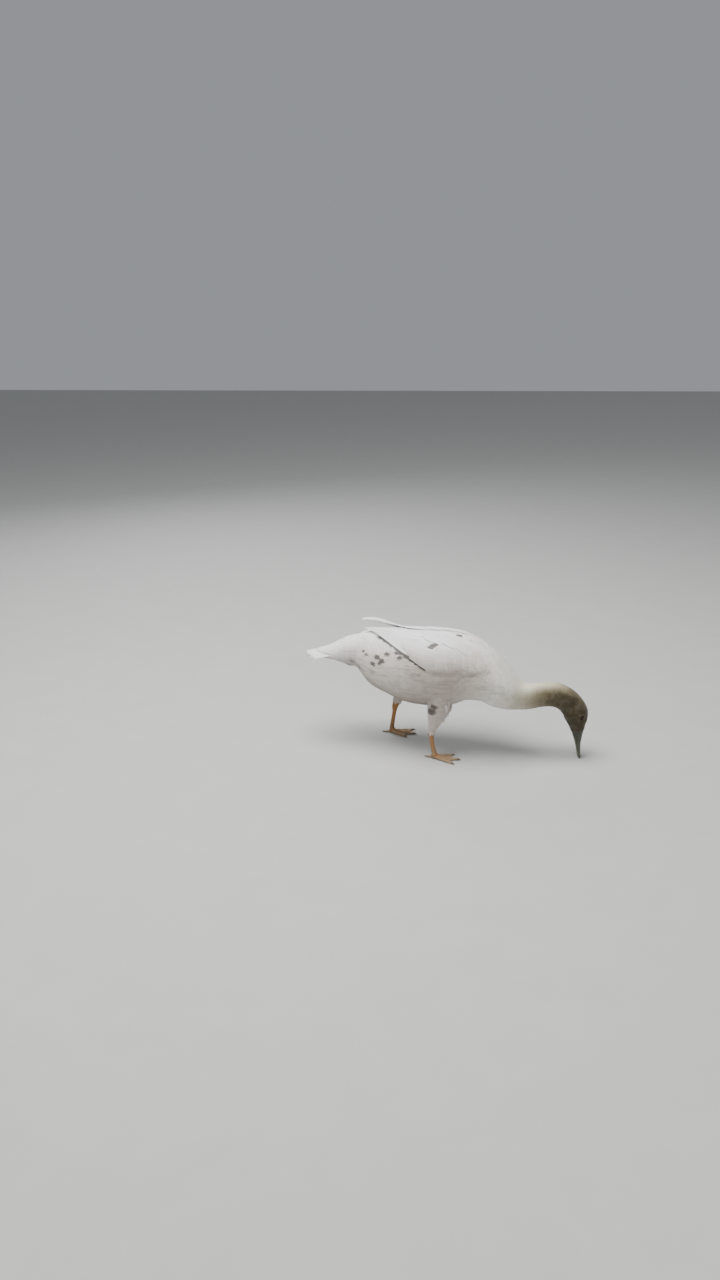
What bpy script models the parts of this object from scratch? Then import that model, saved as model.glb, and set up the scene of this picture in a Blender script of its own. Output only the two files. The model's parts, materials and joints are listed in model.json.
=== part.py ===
"""Indian runner duck, life size, grazing with its neck stretched forward and its bill down.

Metres, +Z up. The duck faces +X and stands on its two feet and the tip of its bill at z = 0.
"""
import math
from random import Random

import bmesh
import bpy
import numpy as np
from mathutils import Matrix, Vector

# Driving sizes
BODY_DEPTH = 0.147           # belly to back, without the wing feathers
BODY_WIDTH = 0.140
NECK_THICK = 0.047
HEAD_HEIGHT = 0.046          # throat to crown
HEAD_WIDTH = 0.037
HEAD_TWIST = 14              # degrees that the crown turns to the duck's left
HEAD_SIDE = 0.020            # the bill lies this far to the left of the body's midline
BILL_PITCH = 84              # degrees that the bill points down from level
BILL_BASE = (0.2535, 0.0565)     # x and z of the middle of the bill's base
BILL_LENGTH = 0.058
EYE_RADIUS = 0.0052
ANKLE_HEIGHT = 0.012
FOOT_SPREAD = 0.050          # from the midline to each ankle
ANKLE_X = {"left": -0.1145, "right": -0.006}    # the left foot trails, the right one leads
MIDDLE_TOE = 0.049
TOE_THICK = 0.0072
WEB_THICK = 0.0018
CLAW_LENGTH = 0.0065
GAP = 0.0003                 # between nodes that meet face to face
FLAT_WITHIN = 1.2            # degrees between faces that are joined as one flat
SIDES = 32                   # round the body, neck and head
TORSO_STEPS = 16             # lengths from rump to neck
LOWER_NECK_STEPS, UPPER_NECK_STEPS, HEAD_STEPS = 5, 5, 10

# Sections along the body, as shares of the body's depth and width
BODY_SECTIONS = (            # x, z, pitch in degrees, up, down, half width
    (-0.170, 0.190, 0, 0.21, 0.19, 0.25),
    (-0.138, 0.181, 0, 0.36, 0.37, 0.38),
    (-0.105, 0.175, 0, 0.42, 0.44, 0.45),
    (-0.065, 0.169, 0, 0.46, 0.50, 0.49),
    (-0.020, 0.167, 0, 0.48, 0.505, 0.50),
    (0.023, 0.167, 0, 0.47, 0.465, 0.49),
    (0.056, 0.164, 5, 0.43, 0.365, 0.46),
    (0.086, 0.157, 11, 0.355, 0.33, 0.41),
    (0.112, 0.147, 17, 0.25, 0.335, 0.35),
    (0.134, 0.135, 18, 0.175, 0.285, 0.28),
    (0.152, 0.1265, 10, 0.14, 0.21, 0.21),
)
NECK_SECTIONS = (            # the same, as shares of the neck's thickness
    (0.169, 0.1235, 0, 0.49, 0.53, 0.52),
    (0.187, 0.1260, -2, 0.50, 0.50, 0.50),
    (0.206, 0.1268, 9, 0.50, 0.50, 0.49),
    (0.2195, 0.1225, 23, 0.49, 0.49, 0.48),
    (0.2320, 0.1145, 38, 0.49, 0.48, 0.47),
)
HEAD_SECTIONS = (            # behind the bill's base, towards the crown, pitch, up, down, half
    (0.0485, -0.0068, 54, 0.50, 0.50, 0.49),
    (0.0370, -0.0010, 68, 0.505, 0.50, 0.505),
    (0.0270, 0.0003, 78, 0.485, 0.48, 0.49),
    (0.0170, 0.0004, 84, 0.43, 0.405, 0.44),
    (0.0080, 0.0002, 84, 0.355, 0.315, 0.375),
    (0.0000, 0.0000, 84, 0.30, 0.255, 0.325),
)
TORSO_END = len(BODY_SECTIONS) - 1
NECK_MIDDLE = TORSO_END + 3
NECK_END = TORSO_END + len(NECK_SECTIONS)
HEAD_END = NECK_END + len(HEAD_SECTIONS)

# Each leg's sections from inside the belly to the ankle: x, share of the foot's spread, z,
# pitch, then the reach to the front, to the back and to each side in millimetres
LEG_SECTIONS = {
    "right": (
        (0.006, 0.90, 0.132, 95, 23, 23, 17),
        (0.002, 0.96, 0.100, 97, 21, 21, 15.5),
        (-0.003, 1.00, 0.081, 99, 14.5, 15, 11.5),
        (-0.008, 1.00, 0.064, 97, 9, 9, 7.5),
        (-0.011, 1.00, 0.052, 92, 5.8, 6.2, 5.2),
        (-0.011, 1.00, 0.041, 87, 4.4, 4.6, 3.9),
        (-0.009, 1.00, 0.026, 83, 4.3, 4.4, 3.7),
        (-0.006, 1.00, 0.012, 84, 4.9, 5.0, 4.5),
    ),
    "left": (
        (-0.070, 0.88, 0.136, 115, 23, 23, 17),
        (-0.084, 0.95, 0.107, 115, 19, 19, 15),
        (-0.095, 1.00, 0.088, 113, 13, 13, 11),
        (-0.103, 1.00, 0.070, 108, 8.2, 8.4, 7.2),
        (-0.107, 1.00, 0.058, 102, 5.8, 6.2, 5.2),
        (-0.109, 1.00, 0.046, 98, 4.4, 4.6, 3.9),
        (-0.112, 1.00, 0.028, 98, 4.3, 4.4, 3.7),
        (-0.1145, 1.00, 0.012, 98, 4.9, 5.0, 4.5),
    ),
}
HOCK = 4                     # the section where the feathered thigh meets the bare shank
TOES = (                     # name, direction in degrees, share of the middle toe, thickness
    ("inner", -27, 0.80, 0.94),
    ("middle", 0, 1.00, 1.00),
    ("outer", 25, 0.95, 0.94),
    ("hind", 187, 0.26, 0.70),
)


def clear_scene():
    for old in list(bpy.data.objects):
        bpy.data.objects.remove(old, do_unlink=True)


def collection(name):
    made = bpy.data.collections.new(name)
    bpy.context.scene.collection.children.link(made)
    return made


def material(name, colour, roughness, metallic=0.0):
    made = bpy.data.materials.new(name)
    made.use_nodes = True
    shader = made.node_tree.nodes["Principled BSDF"]
    shader.inputs["Base Color"].default_value = (*colour, 1.0)
    shader.inputs["Roughness"].default_value = roughness
    shader.inputs["Metallic"].default_value = metallic
    return made


def mesh_object(name, bm, home):
    """A named object in that collection from a bmesh, with its faces pointing out."""
    bmesh.ops.recalc_face_normals(bm, faces=bm.faces)
    mesh = bpy.data.meshes.new(name)
    bm.to_mesh(mesh)
    bm.free()
    made = bpy.data.objects.new(name, mesh)
    home.objects.link(made)
    return made


def loft(rings):
    """A closed bmesh through rings of equal point count, with a flat cap at each end."""
    bm = bmesh.new()
    made = [[bm.verts.new(point) for point in ring] for ring in rings]
    count = len(rings[0])
    for near, far in zip(made, made[1:]):
        for i in range(count):
            j = (i + 1) % count
            bm.faces.new((near[i], near[j], far[j], far[i]))
    bm.faces.new(made[0])
    bm.faces.new(made[-1])
    return bm


def smooth_between(keys, at):
    """A row between the keys, on a smooth curve that passes through each of them."""
    last = len(keys) - 1
    i = int(min(max(math.floor(at), 0), last - 1))
    t = at - i
    p0, p1, p2, p3 = (keys[min(max(k, 0), last)] for k in (i - 1, i, i + 1, i + 2))
    if i == 0:
        p0 = 2 * p1 - p2
    if i == last - 1:
        p3 = 2 * p2 - p1
    return 0.5 * (2 * p1 + (p2 - p0) * t + (2 * p0 - 5 * p1 + 4 * p2 - p3) * t**2
                  + (3 * p1 - p0 - 3 * p2 + p3) * t**3)


def head_axes():
    """The middle of the bill's base, and the directions to its tip and to the crown."""
    turn = math.radians(BILL_PITCH)
    tip = Vector((math.cos(turn), 0.0, -math.sin(turn)))
    crown = Vector((math.sin(turn), 0.0, math.cos(turn)))
    return Vector((BILL_BASE[0], HEAD_SIDE, BILL_BASE[1])), tip, crown


def spine_keys():
    """Every section from rump to bill: x, y, z, pitch, twist, up, down and half width."""
    rows = [(x, 0.0, z, pitch, 0.0, up * BODY_DEPTH, down * BODY_DEPTH, half * BODY_WIDTH)
            for x, z, pitch, up, down, half in BODY_SECTIONS]
    last = len(NECK_SECTIONS)
    for i, (x, z, pitch, up, down, half) in enumerate(NECK_SECTIONS):
        share = (i + 0.3) / last
        rows.append((x, HEAD_SIDE * share, z, pitch, HEAD_TWIST * share**2,
                     up * NECK_THICK, down * NECK_THICK, half * NECK_THICK))
    base, tip, crown = head_axes()
    for back, rise, pitch, up, down, half in HEAD_SECTIONS:
        place = base - tip * back + crown * rise
        rows.append((*place, pitch, HEAD_TWIST,
                     up * HEAD_HEIGHT, down * HEAD_HEIGHT, half * HEAD_WIDTH))
    return np.array(rows)


def leg_keys(name):
    """A leg's sections in the same form as the spine's."""
    side = 1 if name == "left" else -1
    return np.array([(x, side * spread * FOOT_SPREAD, z, pitch, 0.0,
                      front / 1000, back / 1000, half / 1000)
                     for x, spread, z, pitch, front, back, half in LEG_SECTIONS[name]])


SPINE = spine_keys()


def section(keys, at):
    """Where a section is, its forward, dorsal and left directions, and its reaches."""
    x, y, z, pitch, twist, up, down, half = smooth_between(keys, at)
    pitch, twist = math.radians(pitch), math.radians(twist)
    forward = Vector((math.cos(pitch), 0.0, -math.sin(pitch)))
    upright = Vector((math.sin(pitch), 0.0, math.cos(pitch)))
    left = Vector((0.0, 1.0, 0.0))
    dorsal = upright * math.cos(twist) + left * math.sin(twist)
    side = left * math.cos(twist) - upright * math.sin(twist)
    return Vector((x, y, z)), forward, dorsal, side, up, down, half


def skin_point(keys, at, angle, grow=0.0):
    """A point on the skin. The angle is 0 on the back and positive down the left side."""
    centre, _, dorsal, side, up, down, half = section(keys, at)
    reach = up if math.cos(angle) > 0 else down
    return (centre + dorsal * ((reach + grow) * math.cos(angle))
            + side * ((half + grow) * math.sin(angle)))


def skin_ring(keys, at, sides=SIDES, grow=0.0, shift=0.0):
    along = section(keys, at)[1] * shift
    return [skin_point(keys, at, 2 * math.pi * i / sides, grow) + along for i in range(sides)]


def stretch(keys, start, end, steps, sides=SIDES):
    """A closed length between two sections, short of the length before it by the gap."""
    rings = [skin_ring(keys, start + (end - start) * i / steps, sides) for i in range(steps + 1)]
    if start > 0:
        rings[0] = skin_ring(keys, start, sides, shift=GAP)
    return loft(rings)


def place_at(keys, x):
    """The place among the sections whose middle lies at that x."""
    last = TORSO_END if keys is SPINE else len(keys) - 1
    low, high = 0.0, float(last)
    rising = keys[last][0] > keys[0][0]
    for _ in range(30):
        middle = (low + high) / 2
        if (smooth_between(keys, middle)[0] < x) == rising:
            low = middle
        else:
            high = middle
    return low


def off_skin(keys, x, angle, height):
    """A point that far off the skin, and the way out of the skin there."""
    at = place_at(keys, x)
    step = 0.05
    along = skin_point(keys, at + step, angle) - skin_point(keys, at - step, angle)
    around = skin_point(keys, at, angle + step) - skin_point(keys, at, angle - step)
    out = around.cross(along).normalized()
    place = skin_point(keys, at, angle)
    if out.dot(place - section(keys, at)[0]) < 0:
        out.negate()
    return place + out * height, out


def remove_all(objects):
    for old in objects:
        bpy.data.objects.remove(old, do_unlink=True)


def closed(mesh):
    bm = bmesh.new()
    bm.from_mesh(mesh)
    whole = len(bm.faces) > 0 and all(edge.is_manifold for edge in bm.edges)
    bm.free()
    return whole


def apply_boolean(target, operation, cutter=None, group=None):
    """Applies one Boolean by the exact solver, or by Manifold where that leaves a hole."""
    before = target.data
    for solver in ("EXACT", "MANIFOLD"):
        target.data = before
        join = target.modifiers.new("join", "BOOLEAN")
        join.operation = operation
        join.solver = solver
        join.operand_type = "COLLECTION" if group else "OBJECT"
        join.collection = group
        join.object = cutter
        graph = bpy.context.evaluated_depsgraph_get()
        result = bpy.data.meshes.new_from_object(target.evaluated_get(graph))
        target.modifiers.clear()
        if closed(result):
            break
    target.data = result


def islands(bm):
    """The separate closed surfaces of a bmesh, as lists of faces."""
    left, found = set(bm.faces), []
    while left:
        seed = left.pop()
        group, queue = [seed], [seed]
        while queue:
            for edge in queue.pop().edges:
                for face in edge.link_faces:
                    if face in left:
                        left.remove(face)
                        group.append(face)
                        queue.append(face)
        found.append(group)
    return found


def keep_largest(target):
    """Keeps the node's largest closed surface, without sealed hollows and loose scraps."""
    bm = bmesh.new()
    bm.from_mesh(target.data)
    bmesh.ops.remove_doubles(bm, verts=bm.verts, dist=1e-6)
    bmesh.ops.dissolve_degenerate(bm, dist=1e-6, edges=bm.edges)
    groups = sorted(islands(bm), key=lambda group: sum(face.calc_area() for face in group))
    loose = [face for group in groups[:-1] for face in group]
    if loose:
        bmesh.ops.delete(bm, geom=loose, context="FACES")
    bmesh.ops.dissolve_limit(bm, angle_limit=math.radians(FLAT_WITHIN), verts=bm.verts,
                             edges=bm.edges)
    bmesh.ops.triangulate(bm, faces=bm.faces)
    bm.to_mesh(target.data)
    bm.free()


def fuse(target, pieces):
    """Joins the pieces to the target with one union."""
    group = collection(target.name + "_pieces")
    for piece in pieces:
        for home in list(piece.users_collection):
            home.objects.unlink(piece)
        group.objects.link(piece)
    apply_boolean(target, "UNION", group=group)
    remove_all(list(group.objects))
    bpy.data.collections.remove(group)
    keep_largest(target)


def carve(target, cutter):
    """Cuts the cutter out of the target, and removes the cutter."""
    apply_boolean(target, "DIFFERENCE", cutter=cutter)
    remove_all([cutter])
    keep_largest(target)


def flatten_base(target, floor=0.0):
    """Trims what reaches under the floor, which leaves a flat."""
    bm = bmesh.new()
    bm.from_mesh(target.data)
    everything = bm.verts[:] + bm.edges[:] + bm.faces[:]
    cut = bmesh.ops.bisect_plane(bm, geom=everything, dist=1e-7, plane_co=(0, 0, floor),
                                 plane_no=(0, 0, -1), clear_outer=True)
    rim = [piece for piece in cut["geom_cut"] if isinstance(piece, bmesh.types.BMEdge)]
    bmesh.ops.holes_fill(bm, edges=rim)
    bmesh.ops.triangulate(bm, faces=bm.faces)
    bm.to_mesh(target.data)
    bm.free()


def dress(target, look):
    """Gives a node its material and round shading."""
    target.data.name = target.name
    target.data.materials.clear()
    target.data.materials.append(look)
    target.data.shade_smooth()
    target.data.set_sharp_from_angle(angle=math.radians(35))


def ellipsoid(name, home, centre, axes, radii, segments=12, rings=8):
    """A closed ball, stretched by its radii along three directions."""
    bm = bmesh.new()
    turn = Matrix([axis * radius for axis, radius in zip(axes, radii)]).transposed().to_4x4()
    bmesh.ops.create_uvsphere(bm, u_segments=segments, v_segments=rings, radius=1.0,
                              matrix=Matrix.Translation(centre) @ turn)
    return mesh_object(name, bm, home)


def torso_cutter(home):
    """The torso grown by the gap, which trims what lies on it."""
    rings = [skin_ring(SPINE, i * TORSO_END / TORSO_STEPS, grow=GAP)
             for i in range(TORSO_STEPS + 1)]
    rings[0] = skin_ring(SPINE, 0.0, grow=GAP, shift=-GAP)
    rings[-1] = skin_ring(SPINE, TORSO_END, grow=GAP, shift=GAP)
    return mesh_object("torso_cutter", loft(rings), home)


def make_torso(home):
    return mesh_object("torso", stretch(SPINE, 0, TORSO_END, TORSO_STEPS), home)


def make_neck(home):
    mesh_object("neck_lower", stretch(SPINE, TORSO_END, NECK_MIDDLE, LOWER_NECK_STEPS), home)
    mesh_object("neck_upper", stretch(SPINE, NECK_MIDDLE, NECK_END, UPPER_NECK_STEPS), home)


def head_place(back, rise, side=0.0):
    """A point in the head: behind the bill's base, towards the crown, and to its own left."""
    base, tip, crown = head_axes()
    _, _, dorsal, left, *_ = section(SPINE, HEAD_END)
    return base - tip * back + dorsal * rise + left * side


EYE_BACK, EYE_RISE, EYE_SIDE = 0.029, 0.0085, 0.0150
LID_STEPS, LID_SIDES = 12, 4
LID_LONG, LID_HIGH = 0.0054, 0.0046      # from the eye's middle to the middle of the lid's roll
LID_STAND = 0.0026                       # how far out from the eye's middle the roll lies
LID_ROLL = (0.0011, 0.0012)              # its half thickness across and outward


def eye_axes(side):
    """An eye's outward, forward and upward directions."""
    _, tip, dorsal, left, *_ = section(SPINE, HEAD_END)
    out = (left * side * 0.93 + dorsal * 0.20 + tip * 0.30).normalized()
    along = (tip - out * tip.dot(out)).normalized()
    return out, along, out.cross(along).normalized()


def make_lid(home, centre, axes):
    """A raised ring round the eye, longer than it is high."""
    out, along, up = axes
    bm = bmesh.new()
    rings = []
    for i in range(LID_STEPS):
        turn = 2 * math.pi * i / LID_STEPS
        spoke = along * (LID_LONG * math.cos(turn)) + up * (LID_HIGH * math.sin(turn))
        middle = centre + out * LID_STAND + spoke
        away = spoke.normalized()
        rings.append([middle + away * (LID_ROLL[0] * math.cos(a)) + out * (LID_ROLL[1] * math.sin(a))
                      for a in (2 * math.pi * k / LID_SIDES for k in range(LID_SIDES))])
    made = [[bm.verts.new(point) for point in ring] for ring in rings]
    for i in range(LID_STEPS):
        after = made[(i + 1) % LID_STEPS]
        for k in range(LID_SIDES):
            m = (k + 1) % LID_SIDES
            bm.faces.new((made[i][k], made[i][m], after[m], after[k]))
    return mesh_object("lid", bm, home)


def make_head(home, cutters):
    head = mesh_object("head", stretch(SPINE, NECK_END, HEAD_END, HEAD_STEPS), home)
    eyes = {name: head_place(EYE_BACK, EYE_RISE, side * EYE_SIDE)
            for name, side in (("left", 1), ("right", -1))}
    lids = [make_lid(cutters, eyes[name], eye_axes(side))
            for name, side in (("left", 1), ("right", -1))]
    fuse(head, lids)
    for name, side in (("left", 1), ("right", -1)):
        axes = eye_axes(side)
        socket = EYE_RADIUS + GAP
        carve(head, ellipsoid("socket", cutters, eyes[name], axes, (socket,) * 3))
        ellipsoid("eye_" + name, home, eyes[name], axes, (EYE_RADIUS,) * 3)


BILL_SECTIONS = (            # share of the length, ridge, floor of the lower bill, half width
    (0.00, 13.4, 11.2, 11.6),
    (0.12, 11.4, 9.6, 10.6),
    (0.26, 8.6, 7.8, 9.9),
    (0.42, 6.2, 6.0, 10.0),
    (0.60, 4.6, 4.6, 10.9),
    (0.78, 3.8, 3.7, 11.5),
    (0.90, 3.2, 3.2, 10.6),
    (0.97, 2.6, 2.7, 7.6),
    (1.00, 2.0, 2.2, 5.2),
)


BILL_STEPS = 12
BILL_ARCH = 14               # faces over the dome of each half
MOUTH_DIP = (0.0010, 0.0022)     # the mouth line under the bill's axis, and how much it curves
LOWER_SHARE = (0.92, 0.965)      # the lower bill's width and length against the upper one's
NOSTRIL_PLACE = (0.30, 0.0050, 0.0072)   # share of the length, rise and distance to each side
NOSTRIL_RADII = (0.0036, 0.0013, 0.0022)


def bill_ring(t, upper):
    """A section of the upper or lower bill: a dome on the flat where the mouth closes."""
    share, ridge, floor, half = smooth_between(np.array(BILL_SECTIONS),
                                               t * (len(BILL_SECTIONS) - 1))
    mouth = -MOUTH_DIP[1] * math.sin(math.pi * min(share * 1.1, 1.0)) - MOUTH_DIP[0]
    reach = ridge / 1000 - mouth if upper else floor / 1000 + mouth
    reach = max(reach - GAP / 2, 0.0008)
    width = half / 1000 * (1.0 if upper else LOWER_SHARE[0])
    way = 1 if upper else -1
    points = []
    for i in range(BILL_ARCH + 1):
        turn = math.pi * i / BILL_ARCH
        rise = reach * math.sin(turn) ** 0.8
        points.append((width * math.cos(turn), mouth + way * (GAP / 2 + rise)))
    for i in range(1, 4):
        points.append((width * (i / 2 - 1), mouth + way * GAP / 2))
    start = GAP / BILL_LENGTH
    far = start + (1 - start) * share * (1.0 if upper else LOWER_SHARE[1])
    return [head_place(-BILL_LENGTH * far, rise, across) for across, rise in points]


def make_bill(home, cutters):
    for name, upper in (("bill_upper", True), ("bill_lower", False)):
        rings = [bill_ring(i / BILL_STEPS, upper) for i in range(BILL_STEPS + 1)]
        bill = mesh_object(name, loft(rings), home)
        if not upper:
            continue
        share, rise, across = NOSTRIL_PLACE
        _, tip, dorsal, left, *_ = section(SPINE, HEAD_END)
        for side in (1, -1):
            centre = head_place(-share * BILL_LENGTH, rise, side * across)
            out = (left * side * 0.75 + dorsal * 0.66).normalized()
            axes = (tip, out.cross(tip).normalized(), out)
            carve(bill, ellipsoid("nostril", cutters, centre, axes, NOSTRIL_RADII))
        flatten_base(bill)


THIGH_STEPS, THIGH_SIDES = 10, 20
SHANK_STEPS, SHANK_SIDES = 8, 14


def make_leg(name, home, cutters):
    """The feathered thigh and the bare shank."""
    keys = leg_keys(name)
    thigh = mesh_object("thigh_" + name, stretch(keys, 0, HOCK, THIGH_STEPS, THIGH_SIDES), home)
    carve(thigh, torso_cutter(cutters))
    mesh_object("shank_" + name, stretch(keys, HOCK, len(keys) - 1, SHANK_STEPS, SHANK_SIDES), home)


TOE_STEPS, TOE_SIDES = 6, 8
TOE_TAPER = 0.34
KNUCKLES, KNUCKLE_SWELL = 3, 0.10


def toe_path(direction, length, t):
    """A point on the middle of a toe, and how thick the toe is there."""
    turn = math.radians(direction)
    reach = length * t
    swell = 1.0 + KNUCKLE_SWELL * math.cos(2 * math.pi * KNUCKLES * t)
    thick = TOE_THICK * (1.0 - TOE_TAPER * t) * swell
    return Vector((math.cos(turn) * reach, math.sin(turn) * reach, 0.0)), thick


def make_toe(name, home, direction, length, width):
    """A knuckled toe that lies on the floor."""
    turn = math.radians(direction)
    side = Vector((-math.sin(turn), math.cos(turn), 0.0))
    up = Vector((0.0, 0.0, 1.0))
    rings = []
    for i in range(TOE_STEPS + 1):
        t = i / TOE_STEPS
        place, thick = toe_path(direction, length, t)
        thick *= width
        rise = up * (thick * 0.44 + ANKLE_HEIGHT * 0.25 * max(0.0, 1 - 3 * t))
        rings.append([place + rise + side * (thick / 2 * math.cos(a)) + up * (thick / 2 * math.sin(a))
                      for a in (2 * math.pi * k / TOE_SIDES for k in range(TOE_SIDES))])
    return mesh_object(name, loft(rings), home)


WEB_REACH = 0.93             # share of each toe that the web runs along
WEB_BOW = 0.15
WEB_STEPS = 8
WEB_UNDER = 0.0006


def make_web(home, first, second):
    """The web between two toes: a thin plate whose front edge bows in."""
    bm = bmesh.new()
    outline = [Vector((0.0, 0.0, 0.0))]
    ends = []
    for direction, length in (first, second):
        turn = math.radians(direction)
        ends.append(Vector((math.cos(turn), math.sin(turn), 0.0)) * length * WEB_REACH)
    for i in range(WEB_STEPS + 1):
        t = i / WEB_STEPS
        edge = ends[0].lerp(ends[1], t)
        outline.append(edge * (1 - WEB_BOW * math.sin(math.pi * t)))
    low = [bm.verts.new(point - Vector((0, 0, WEB_UNDER))) for point in outline]
    high = [bm.verts.new(point + Vector((0, 0, WEB_THICK))) for point in outline]
    bm.faces.new(low)
    bm.faces.new(high)
    for i in range(len(outline)):
        j = (i + 1) % len(outline)
        bm.faces.new((low[i], low[j], high[j], high[i]))
    return mesh_object("web", bm, home)


TOES_BEHIND_ANKLE = 0.003    # where the toes spring from
FOOT_HUB = ((0.009, 0.0006), (0.006, 0.0012), (0.0025, 0.0008), (-0.001, 0.0))   # height, swelling
CLAW_SIDES = 6
CLAW_STEPS = (0.0, 0.35, 0.7, 1.0)
CLAW_FLOOR = 0.0007          # between a claw's point and the floor


def place_foot(target, name):
    """Moves a foot's piece from its own frame to the ankle."""
    side = 1 if name == "left" else -1
    for vertex in target.data.vertices:
        vertex.co = Vector((vertex.co.x + ANKLE_X[name] - TOES_BEHIND_ANKLE,
                            side * (FOOT_SPREAD + vertex.co.y), vertex.co.z))
    if side < 0:
        target.data.flip_normals()


def make_foot(name, home, cutters):
    keys = leg_keys(name)
    hub_rings = [skin_ring(keys, len(keys) - 1, SHANK_SIDES, shift=GAP)]
    for z, grow in FOOT_HUB:
        hub_rings.append([Vector((p.x + 2 * grow, p.y, z))
                          for p in skin_ring(keys, len(keys) - 1, SHANK_SIDES, grow)])
    foot = mesh_object("foot_" + name, loft(hub_rings), home)
    toes, lengths = [], {}
    for toe, direction, share, width in TOES:
        length = MIDDLE_TOE * share
        lengths[toe] = (direction, length)
        toes.append(make_toe("toe_" + toe, cutters, direction, length, width))
    for first, second in (("inner", "middle"), ("middle", "outer")):
        toes.append(make_web(cutters, lengths[first], lengths[second]))
    for piece in toes:
        place_foot(piece, name)
    fuse(foot, toes)
    flatten_base(foot)
    for toe, direction, share, width in TOES:
        make_claw(f"claw_{name}_{toe}", home, name, direction, MIDDLE_TOE * share, width)


def make_claw(label, home, name, direction, length, width):
    """A short curved claw at the end of a toe, just off the floor."""
    end, thick = toe_path(direction, length, 1.0)
    thick *= width
    turn = math.radians(direction)
    forward = Vector((math.cos(turn), math.sin(turn), 0.0))
    side = Vector((-math.sin(turn), math.cos(turn), 0.0))
    up = Vector((0.0, 0.0, 1.0))
    rings = []
    reach = CLAW_LENGTH * (0.8 if length < 0.02 else 1.0)
    for t in CLAW_STEPS:
        radius = thick * 0.36 * (1 - 0.82 * t)
        rise = thick * 0.50 - (thick * 0.50 - CLAW_FLOOR - radius * 0.9) * t**2 * 0.9
        middle = end + forward * (GAP + reach * t) + up * rise
        rings.append([middle + side * (radius * math.cos(a)) + up * (radius * math.sin(a))
                      for a in (2 * math.pi * k / CLAW_SIDES for k in range(CLAW_SIDES))])
    place_foot(mesh_object(label, loft(rings), home), name)


VANE_THICK = 0.0006          # a feather's vane at its shaft; its edges are a little thinner
VANE_EDGE = 0.85             # thickness of its edges against its shaft
VANE_STEPS = {4: (0.0, 0.52, 0.86, 1.0), 5: (0.0, 0.35, 0.70, 0.90, 1.0)}


def vane_mesh(rows):
    """A thin closed feather from rows of three points, each with its way out and thickness.

    Both faces are split into the same triangles, so that they never cross.
    """
    bm = bmesh.new()
    upper = [[bm.verts.new(p + out * thick / 2) for p, out, thick in row] for row in rows]
    lower = [[bm.verts.new(p - out * thick / 2) for p, out, thick in row] for row in rows]
    for i in range(len(rows) - 1):
        for j in range(2):
            a, b, c, d = (i, j), (i, j + 1), (i + 1, j + 1), (i + 1, j)
            halves = ((a, b, c), (a, c, d)) if j == 0 else ((a, b, d), (b, c, d))
            for half in halves:
                bm.faces.new([upper[k][m] for k, m in half])
                bm.faces.new([lower[k][m] for k, m in reversed(half)])
        for j in (0, 2):
            bm.faces.new((upper[i][j], upper[i + 1][j], lower[i + 1][j], lower[i][j]))
    for i in (0, len(rows) - 1):
        for j in range(2):
            bm.faces.new((upper[i][j], upper[i][j + 1], lower[i][j + 1], lower[i][j]))
    return bm


def vane_width(t, blunt):
    """The share of a feather's full width at t from its root to its tip."""
    grow = 0.55 + 0.45 * min(t / 0.3, 1.0)
    fall = max(0.0, (t - blunt) / (1 - blunt))
    return grow * math.sqrt(max(0.0, 1 - fall**2.2)) + 0.12 * fall


def lay_vane(home, keys, side, root, tip, width, height, lean, rows=5, blunt=0.6, bow=0.0):
    """A feather that lies along a body from root to tip, each given as x and angle in degrees.

    height gives how far it stands off the skin at t, x and angle. lean is how much its lower
    edge stands out over its upper one, and bow bends its middle towards the back.
    """
    def middle(t):
        angle = root[1] + (tip[1] - root[1]) * t - bow * math.sin(math.pi * t)
        return root[0] + (tip[0] - root[0]) * t, math.radians(angle)

    made = []
    for t in VANE_STEPS[rows]:
        x, angle = middle(t)
        ahead, behind = middle(min(t + 0.05, 1.0)), middle(max(t - 0.05, 0.0))
        at = place_at(keys, x)
        radius = (skin_point(keys, at, angle) - section(keys, at)[0]).length
        along = Vector((ahead[0] - behind[0], radius * (ahead[1] - behind[1]))).normalized()
        half = width * vane_width(t, blunt) / 2
        row = []
        for share in (-1, 0, 1):
            off = half * share
            near_x = x - along.y * off
            near_angle = angle + along.x * off / radius
            up = height(t, near_x, math.degrees(near_angle)) - lean * share * half / width * 2
            point, out = off_skin(keys, near_x, side * near_angle, up)
            row.append((point, out, VANE_THICK * (1.0 if share == 0 else VANE_EDGE)))
        made.append(row)
    return mesh_object("vane", vane_mesh(made), home)


WING_OUTLINE = (             # x, upper edge and lower edge as angles from the back's middle
    (0.084, 50, 62),
    (0.074, 38, 72),
    (0.050, 26, 80),
    (0.024, 18, 84),
    (-0.002, 13, 84),
    (-0.021, 11, 78),
    (-0.044, 9, 62),
    (-0.070, 7, 45),
    (-0.096, 5, 29),
    (-0.125, 3, 17),
    (-0.150, 2, 10),
)
PAD_RISE = (                 # x and how far the wing's flesh stands off the body, rear first
    (-0.100, 0.0013), (-0.060, 0.0022), (-0.020, 0.0036), (0.020, 0.0048),
    (0.050, 0.0050), (0.074, 0.0036), (0.090, 0.0018),
)
PAD_REAR = -0.088
PAD_ROWS, PAD_COLUMNS = 11, 6
PAD_OVERLAP = (1.5, 2.5)     # degrees that the flesh reaches past the upper and the lower edge
PAD_SUNK, PAD_LEAST = 0.002, 0.0006      # its underside in the body, and its least height
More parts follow.
